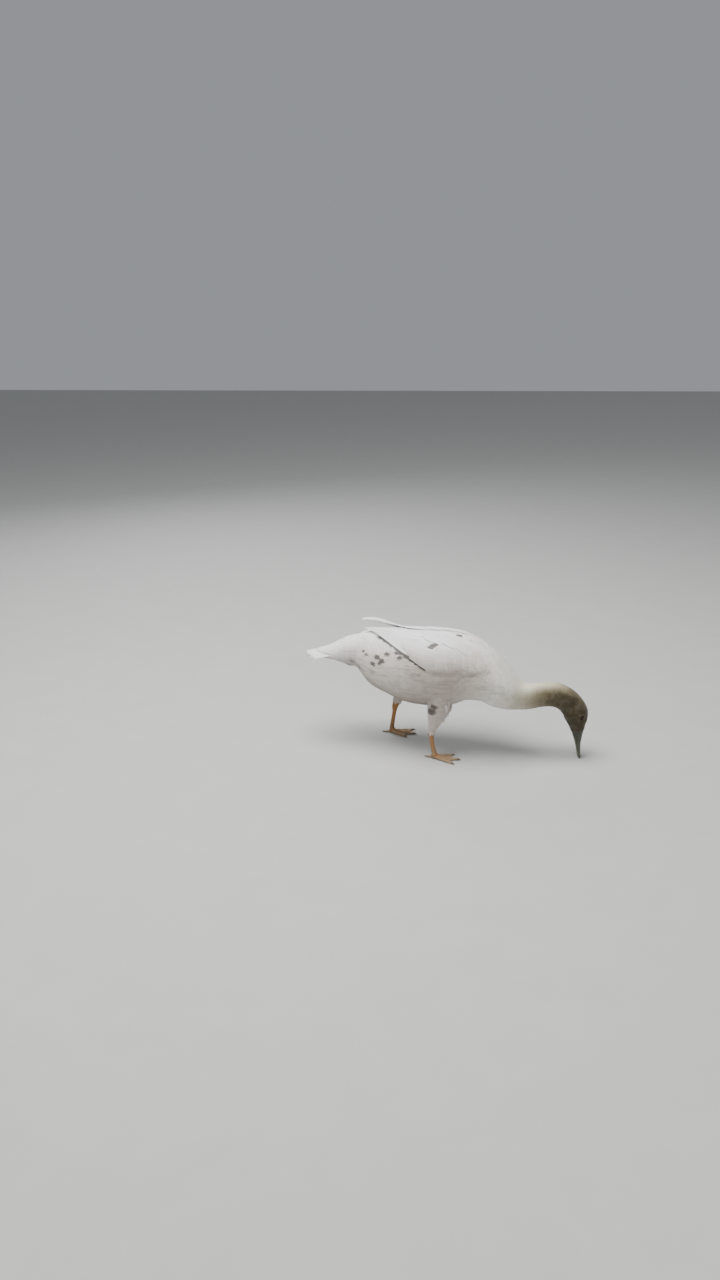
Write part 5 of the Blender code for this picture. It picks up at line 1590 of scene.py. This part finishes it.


# %% Markings group
# The back's colours stay pale further towards the head than the flank's: a painted highlight along the
# top of the neck.
BACK = (                     # share of the way from tail to bill, and the 8-bit colour there
    (0.0, (239, 241, 237)), (0.10, (239, 240, 239)), (0.38, (239, 238, 240)),
    (0.50, (232, 229, 227)), (0.58, (224, 218, 212)), (0.68, (220, 215, 201)),
    (0.76, (208, 203, 182)), (0.83, (182, 174, 146)), (0.88, (104, 92, 65)),
    (0.93, (67, 58, 37)), (1.0, (55, 47, 30)),
)
# The flank's and the belly's darker stretches are partly the bird's own grey and partly painted shade,
# strongest under the belly and vent.
FLANK = (
    (0.0, (222, 222, 218)), (0.12, (216, 210, 204)), (0.24, (224, 216, 209)),
    (0.38, (192, 182, 175)), (0.50, (174, 164, 155)), (0.58, (202, 194, 184)),
    (0.655, (230, 228, 219)), (0.70, (210, 206, 191)), (0.745, (168, 161, 140)),
    (0.79, (110, 102, 78)), (0.86, (70, 61, 40)), (1.0, (53, 45, 29)),
)
BELLY = (
    (0.0, (206, 203, 197)), (0.10, (132, 122, 110)), (0.20, (128, 118, 108)),
    (0.42, (136, 126, 116)), (0.55, (196, 190, 181)), (0.65, (241, 240, 235)),
    (0.70, (222, 218, 204)), (0.75, (166, 159, 137)), (0.79, (116, 108, 84)),
    (0.85, (71, 62, 41)), (1.0, (50, 43, 28)),
)
SPOT_AND_SHADE_BROWN, BLOTCH_GREY, STREAK_BROWN = (54, 47, 44), (160, 148, 136), (150, 136, 124)
STREAK_SCALE = (16, 120, 190)        # drawn out along the body


def markings_group():
    group, given, result = new_group(
        "bird markings",
        (("Along", "Float", 0.0), ("Around", "Float", 0.0), ("Spot", "Float", 0.0),
         ("Shade", "Float", 0.0), ("Down", "Float", 0.5)), (("Color", "Color"), ("Mask", "Float")))
    wander = product(group, rest_of(group, noise(group, 28, 4, 0.6), 0.5), 0.07)
    along, around = total(group, given["Along"], wander), total(group, given["Around"], wander)
    back, flank, belly = (ramp(group, along, stops) for stops in (BACK, FLANK, BELLY))
    # Round the body the back's colours give way to the flank's and the belly's, whose darker stretches
    # are partly painted shade.
    upper = blend(group, smooth(group, around, 0.10, 0.40), back, flank)
    whole = blend(group, smooth(group, around, 0.56, 0.86), upper, belly)
    blotch = smooth(group, noise(group, 60, 5, 0.65), 0.42, 0.68)
    whole = blend(group, product(group, blotch, 0.20), whole, tint(*BLOTCH_GREY))
    drawn_out = add(group, "Mapping", {"Vector": object_place(group), "Scale": STREAK_SCALE})
    drawn_out = drawn_out.outputs["Vector"]
    streaks = add(group, "TexNoise", {"Vector": drawn_out, "Scale": 1.0, "Detail": 3.0})
    streak = smooth(group, streaks.outputs["Fac"], 0.50, 0.66)
    side = product(group, smooth(group, around, 0.26, 0.42),
                   rest_of(group, 1.0, smooth(group, along, 0.66, 0.72)))
    whole = blend(group, product(group, streak, side, 0.34), whole, tint(*STREAK_BROWN))
    # Dark spots, the painted shade under the tail and the painted shadow under the wing's rear edge all
    # darken with one brown.
    ragged = product(group, rest_of(group, noise(group, 210, 3), 0.5), 0.5)
    spot = smooth(group, total(group, given["Spot"], ragged), 0.18, 0.75)
    whole = blend(group, product(group, spot, 0.85), whole, tint(*SPOT_AND_SHADE_BROWN))
    light = total(group, 1.0, product(group, given["Shade"], 0.055))
    tip = add(group, "MapRange", {"Value": given["Down"], "To Min": 0.90, "To Max": 1.03})
    light = product(group, light, tip.outputs["Result"])
    scaled = add(group, "VectorMath", {0: whole, "Scale": light}, operation="SCALE")
    group.links.new(scaled.outputs["Vector"], result.inputs["Color"])
    group.links.new(spot, result.inputs["Mask"])
    return group


MARKINGS = markings_group()
print("colours along the back, flank and belly:", len(BACK), len(FLANK), len(BELLY))

# %% Barbs group
def barbs_group():
    """Fine ribs that slant from the shaft to the rim, and the shaft, from the vane's own map."""
    group, given, result = new_group(
        "vane barbs", (("Rows", "Float", 40.0), ("Slant", "Float", 9.0)),
        (("Height", "Float"), ("Shaft", "Float"), ("Down", "Float")))
    across, down = on_vane(group)[:2]
    aside = from_shaft(group, across)
    phase = rest_of(group, product(group, down, given["Rows"]), product(group, aside, given["Slant"]))
    phase = total(group, phase, product(group, noise(group, 900, 2), 1.3))
    swing = maths(group, "SINE", product(group, phase, TURN))
    wave = product(group, total(group, swing, 1.0), 0.5)
    shaft = rest_of(group, 1.0, smooth(group, aside, 0.02, 0.10), clamp=True)
    height = total(group, product(group, wave, 0.35), shaft)
    for label, value in (("Height", height), ("Shaft", shaft), ("Down", down)):
        group.links.new(value, result.inputs[label])
    return group


BARBS = barbs_group()
print("nodes in the barbs group:", len(BARBS.nodes))

# %% [markdown]
# ## Feather materials
# Feathers scatter light softly and have a faint sheen. The shaft is paler and smoother than the
# barbs, so its mask lightens the colour and lowers the roughness. One painted image could hold
# this, but the barbs would blur in a close view, so they are waves on each feather's own map.

# %% Plumage materials
def bird_marks(tree, down, shade=None):
    """The markings at a point, from the attributes that skin and feathers carry."""
    given = {word.capitalize(): attribute(tree, word) for word in ("along", "around", "spot")}
    given["Shade"] = attribute(tree, "shade") if shade is None else shade
    return use_group(tree, MARKINGS, given | {"Down": down})


def shaft_gloss(tree, shader, shaft, rough, less):
    """Lowers the roughness on the shaft."""
    tree.links.new(rest_of(tree, rough, product(tree, shaft, less)), shader.inputs["Roughness"])


def plumage_material(name, rows, slant, strength):
    made, tree, shader = new_material(name, Roughness=0.78, Sheen_Weight=0.18, Sheen_Roughness=0.5,
                                      Specular_IOR_Level=0.28)
    barbs = use_group(tree, BARBS, {"Rows": rows, "Slant": slant})
    marks = bird_marks(tree, barbs["Down"])
    colour = blend(tree, product(tree, barbs["Shaft"], 0.20), marks["Color"], tint(235, 232, 224),
                   "SOFT_LIGHT")
    tree.links.new(colour, shader.inputs["Base Color"])
    shaft_gloss(tree, shader, barbs["Shaft"], 0.82, 0.18)
    bump(tree, shader, barbs["Height"], strength, 0.0002)
    return made


coat_with(plumage_material("body plumage", 26.0, 6.0, 0.45), *plumage[:BODY_STRETCHES], *thighs)
coat_with(plumage_material("neck and head plumage", 9.0, 2.5, 0.35), *plumage[BODY_STRETCHES:],
          *eye_rings)

skin_finish, tree, shader = new_material("skin under plumage", Roughness=0.9, Sheen_Weight=0.1)
tree.links.new(bird_marks(tree, 0.6, 0.0)["Color"], shader.inputs["Base Color"])
bump(tree, shader, noise(tree, 900, 4, 0.7), 0.5, 0.0004)
coat_with(skin_finish, skin)
print("plumage materials made")

# %% Wing and tail materials
SHAFT_HORN = (204, 198, 186)


def quill_material(name, silver, edge, cover, rows):
    """Wing or tail feathers: the bird's markings under silver vanes with paler rims."""
    made, tree, shader = new_material(name, Roughness=0.7, Sheen_Weight=0.15, Sheen_Roughness=0.5,
                                      Specular_IOR_Level=0.3)
    barbs = use_group(tree, BARBS, {"Rows": rows, "Slant": 10.0})
    marks = bird_marks(tree, barbs["Down"])
    high = rest_of(tree, 1.0, smooth(tree, attribute(tree, "around"), 0.12, 0.42))
    rear = rest_of(tree, 1.0, smooth(tree, attribute(tree, "along"), 0.40, 0.56))
    plain = rest_of(tree, 1.0, marks["Mask"])
    base = blend(tree, product(tree, high, rear, plain, cover), marks["Color"], tint(*silver))
    across, down = on_vane(tree)[:2]
    rim = maths(tree, "MAXIMUM", smooth(tree, from_shaft(tree, across), 0.66, 0.98),
                smooth(tree, down, 0.88, 1.0))
    paler = total(tree, 0.20, product(tree, high, 0.35))
    base = blend(tree, product(tree, rim, plain, paler), base, tint(*edge))
    base = blend(tree, product(tree, barbs["Shaft"], 0.30), base, tint(*SHAFT_HORN))
    tree.links.new(base, shader.inputs["Base Color"])
    shaft_gloss(tree, shader, barbs["Shaft"], 0.74, 0.25)
    bump(tree, shader, barbs["Height"], 0.45, 0.00025)
    return made


coat_with(quill_material("wing feathers", (238, 237, 239), (243, 242, 240), 0.75, 46.0), *wings)
coat_with(quill_material("tail feathers", (235, 237, 231), (245, 246, 241), 0.60, 60.0), tail)
print("wing and tail materials made")

# %% [markdown]
# ## Bare parts
# The bill is dark slate with an olive cast, matt where the skin is soft and rougher where it is
# patchy. Legs and feet are dull orange brown, greyer on the webs, with small scales that are darker
# brown in their creases, and the dust of the yard near the floor. The eye is a dark brown iris round
# a black pupil, under a wet coat.
# All of it could be one shader with masks, but separate ones are easier to read and to change.

# %% Scales and dust groups
def scales_group():
    group, given, result = new_group("leg scales", (("Scale", "Float", 700.0),),
                                     (("Height", "Float"), ("Crease", "Float")))
    cells = add(group, "TexVoronoi", {"Vector": object_place(group), "Scale": given["Scale"],
                                      "Randomness": 0.75}, feature="DISTANCE_TO_EDGE")
    height = smooth(group, cells.outputs["Distance"], 0.0, 0.13)
    group.links.new(height, result.inputs["Height"])
    group.links.new(rest_of(group, 1.0, height), result.inputs["Crease"])
    return group


def dust_group():
    """More dust near the floor and in patches."""
    group, given, result = new_group(
        "yard dust", (("Reach", "Float", 0.05), ("Amount", "Float", 0.5)), (("Mask", "Float"),))
    share = maths(group, "DIVIDE", object_height(group), given["Reach"])
    low = rest_of(group, 1.0, share, clamp=True)
    grain = smooth(group, noise(group, 160, 6, 0.7), 0.40, 0.68)
    group.links.new(product(group, low, grain, given["Amount"]), result.inputs["Mask"])
    return group


SCALES, DUST = scales_group(), dust_group()
print("nodes in the scales and dust groups:", len(SCALES.nodes), len(DUST.nodes))


def dusted(tree, base, reach, amount, colour):
    """A base colour with dust on it, up to a height above the floor."""
    mask = use_group(tree, DUST, {"Reach": reach, "Amount": amount})["Mask"]
    return blend(tree, mask, base, tint(*colour))


# %% Bill
bill_finish, tree, shader = new_material("bill skin", Roughness=0.45, Coat_Weight=0.12,
                                         Coat_Roughness=0.3, Specular_IOR_Level=0.45)
height = object_height(tree)
base = blend(tree, smooth(tree, height, 0.004, 0.055), tint(70, 76, 60), tint(44, 50, 38))
patches = smooth(tree, noise(tree, 120, 5, 0.65), 0.42, 0.70)
base = blend(tree, product(tree, patches, 0.45), base, tint(88, 88, 62))
base = blend(tree, smooth(tree, height, 0.010, 0.004), base, tint(46, 44, 38))
base = dusted(tree, base, 0.022, 0.55, (142, 130, 106))
tree.links.new(base, shader.inputs["Base Color"])
tree.links.new(total(tree, 0.34, product(tree, patches, 0.16)), shader.inputs["Roughness"])
pores = noise(tree, 1300, 4, 0.6)
bump(tree, shader, total(tree, pores, product(tree, patches, 0.6)), 0.45, 0.0003)
coat_with(bill_finish, *bill)
print("bill skin made")

# %% Legs and feet
def leg_material(name, upper, lower, scale, reach):
    """Scaled skin that turns from the lower to the upper colour over the reach from the floor."""
    made, tree, shader = new_material(name, Roughness=0.5, Coat_Weight=0.08, Coat_Roughness=0.4)
    scales = use_group(tree, SCALES, {"Scale": scale})
    rising = smooth(tree, object_height(tree), 0.0026, reach)
    base = blend(tree, rising, tint(*lower), tint(*upper))
    patches = smooth(tree, noise(tree, 110, 5, 0.6), 0.40, 0.72)
    base = blend(tree, product(tree, patches, 0.40), base, tint(120, 78, 40))
    base = blend(tree, product(tree, scales["Crease"], 0.36), base, tint(84, 60, 40))
    base = dusted(tree, base, 0.055, 0.75, (146, 130, 104))
    tree.links.new(base, shader.inputs["Base Color"])
    rough = total(tree, 0.46, product(tree, scales["Crease"], 0.22))
    tree.links.new(rough, shader.inputs["Roughness"])
    grain = product(tree, noise(tree, 1600, 3), 0.4)
    bump(tree, shader, total(tree, scales["Height"], grain), 0.40, 0.0003)
    return made


coat_with(leg_material("shank skin", (168, 117, 62), (142, 100, 60), 880.0, 0.05), *shanks)
coat_with(leg_material("foot skin", (158, 112, 66), (152, 130, 102), 1000.0, 0.0056), *feet)
print("leg and foot skin made")

# %% Claws and lids
claw_finish, tree, shader = new_material("claw horn", Roughness=0.4, Coat_Weight=0.2,
                                         Coat_Roughness=0.25)
streaks = smooth(tree, noise(tree, 500, 5, 0.7), 0.35, 0.70)
base = blend(tree, streaks, tint(66, 54, 42), tint(112, 94, 72))
base = dusted(tree, base, 0.010, 0.7, (150, 136, 110))
tree.links.new(base, shader.inputs["Base Color"])
bump(tree, shader, streaks, 0.3, 0.0002)
coat_with(claw_finish, *claws)

lid_finish, tree, shader = new_material("lid skin", Roughness=0.6)
creases = noise(tree, 1500, 4, 0.7)
base = blend(tree, smooth(tree, creases, 0.35, 0.7), tint(54, 46, 34), tint(86, 75, 56))
tree.links.new(base, shader.inputs["Base Color"])
bump(tree, shader, creases, 0.5, 0.0003)
coat_with(lid_finish, *lids)
print("claw horn and lid skin made")

# %% Eye material
PUPIL, IRIS_EDGE, WHITE_EDGE = (0.44, 0.50), (0.80, 0.98), (0.98, 1.10)     # angles from the middle
for ball, (name, side) in zip(eyeballs, SIDES.items()):
    out = eye_axes(side)[0]
    made, tree, shader = new_material(f"eye {name}", Roughness=0.25, Coat_Weight=0.7,
                                      Coat_Roughness=0.02, Coat_IOR=1.33, Specular_IOR_Level=0.1)
    from_eye = add(tree, "VectorMath", {0: object_place(tree), 1: tuple(EYES[name])},
                   operation="SUBTRACT").outputs["Vector"]
    facing = add(tree, "VectorMath", {0: from_eye, 1: tuple(out / EYE_RADIUS)},
                 operation="DOT_PRODUCT").outputs["Value"]
    ring = maths(tree, "ARCCOSINE", maths(tree, "MINIMUM", facing, 1.0))
    fibres = noise(tree, 1900, 4, 0.7)
    iris = blend(tree, fibres, tint(30, 18, 11), tint(66, 40, 22))
    iris = blend(tree, smooth(tree, ring, *IRIS_EDGE), iris, tint(16, 11, 8))
    iris = blend(tree, rest_of(tree, 1.0, smooth(tree, ring, *PUPIL)), iris, tint(4, 3, 3))
    iris = blend(tree, smooth(tree, ring, *WHITE_EDGE), iris, tint(40, 31, 25))
    tree.links.new(iris, shader.inputs["Base Color"])
    bump(tree, shader, fibres, 0.05, 0.0002)
    coat_with(made, ball)
print("eyes finished")

# %% [markdown]
# ## Floor, light and camera
# A plain pale floor and soft overhead light, as under an overcast sky, show the form without
# hard shadows. The camera has the photograph's height, distance and slight tilt.

# %% Floor
bm = bmesh.new()
FLOOR_HALF = 8.0             # metres
bmesh.ops.create_grid(bm, x_segments=2, y_segments=2, size=FLOOR_HALF)
floor = finish_mesh("floor", bm, smooth=False)
floor_finish, tree, shader = new_material("pale floor", Roughness=0.85)
grain = noise(tree, 14, 5, 0.6)
pale = blend(tree, grain, tint(178, 178, 176), tint(188, 188, 186))
tree.links.new(pale, shader.inputs["Base Color"])
coat_with(floor_finish, floor)
print("floor width in metres:", 2 * FLOOR_HALF)

# %% Lights
def area_light(name, place, target, size, power, colour):
    data = bpy.data.lights.new(name, "AREA")
    data.shape, data.size, data.energy, data.color = "DISK", size, power, colour
    lamp = bpy.data.objects.new(name, data)
    lamp.location = place
    lamp.rotation_euler = (Vector(place) - Vector(target)).to_track_quat("Z", "Y").to_euler()
    bpy.context.scene.collection.objects.link(lamp)


MIDDLE = (0.0, 0.0, 0.12)
area_light("sky", (-0.45, -0.35, 2.4), MIDDLE, 1.8, 108, (1.0, 0.99, 0.97))
area_light("front", (1.2, -2.4, 1.3), MIDDLE, 1.4, 14, (1.0, 0.98, 0.95))
area_light("back", (-1.4, 1.8, 1.5), MIDDLE, 1.2, 17, (0.96, 0.98, 1.0))
world = bpy.data.worlds.new("studio")
bpy.context.scene.world = world
world.use_nodes = True
world.node_tree.nodes["Background"].inputs["Color"].default_value = (0.80, 0.84, 0.88, 1)
world.node_tree.nodes["Background"].inputs["Strength"].default_value = 0.38

# %% Camera
CAMERA_PLACE = Vector((0.3724, -1.806, 0.833))
CAMERA_FORWARD = Vector((-0.2698, 0.9103, -0.3140)).normalized()
CAMERA_ROLL = 1.3            # degrees
CAMERA_LENS, CAMERA_SIDE = 28.9, 36.0          # millimetres
data = bpy.data.cameras.new("camera")
data.lens, data.sensor_width, data.sensor_fit = CAMERA_LENS, CAMERA_SIDE, "AUTO"
camera = bpy.data.objects.new("camera", data)
camera.location = CAMERA_PLACE
aim = (-CAMERA_FORWARD).to_track_quat("Z", "Y").to_matrix().to_4x4()
camera.matrix_world = (Matrix.Translation(CAMERA_PLACE) @ aim
                       @ Matrix.Rotation(math.radians(-CAMERA_ROLL), 4, "Z"))
bpy.context.scene.collection.objects.link(camera)
bpy.context.scene.camera = camera
print("camera height in metres:", round(camera.location.z, 2))
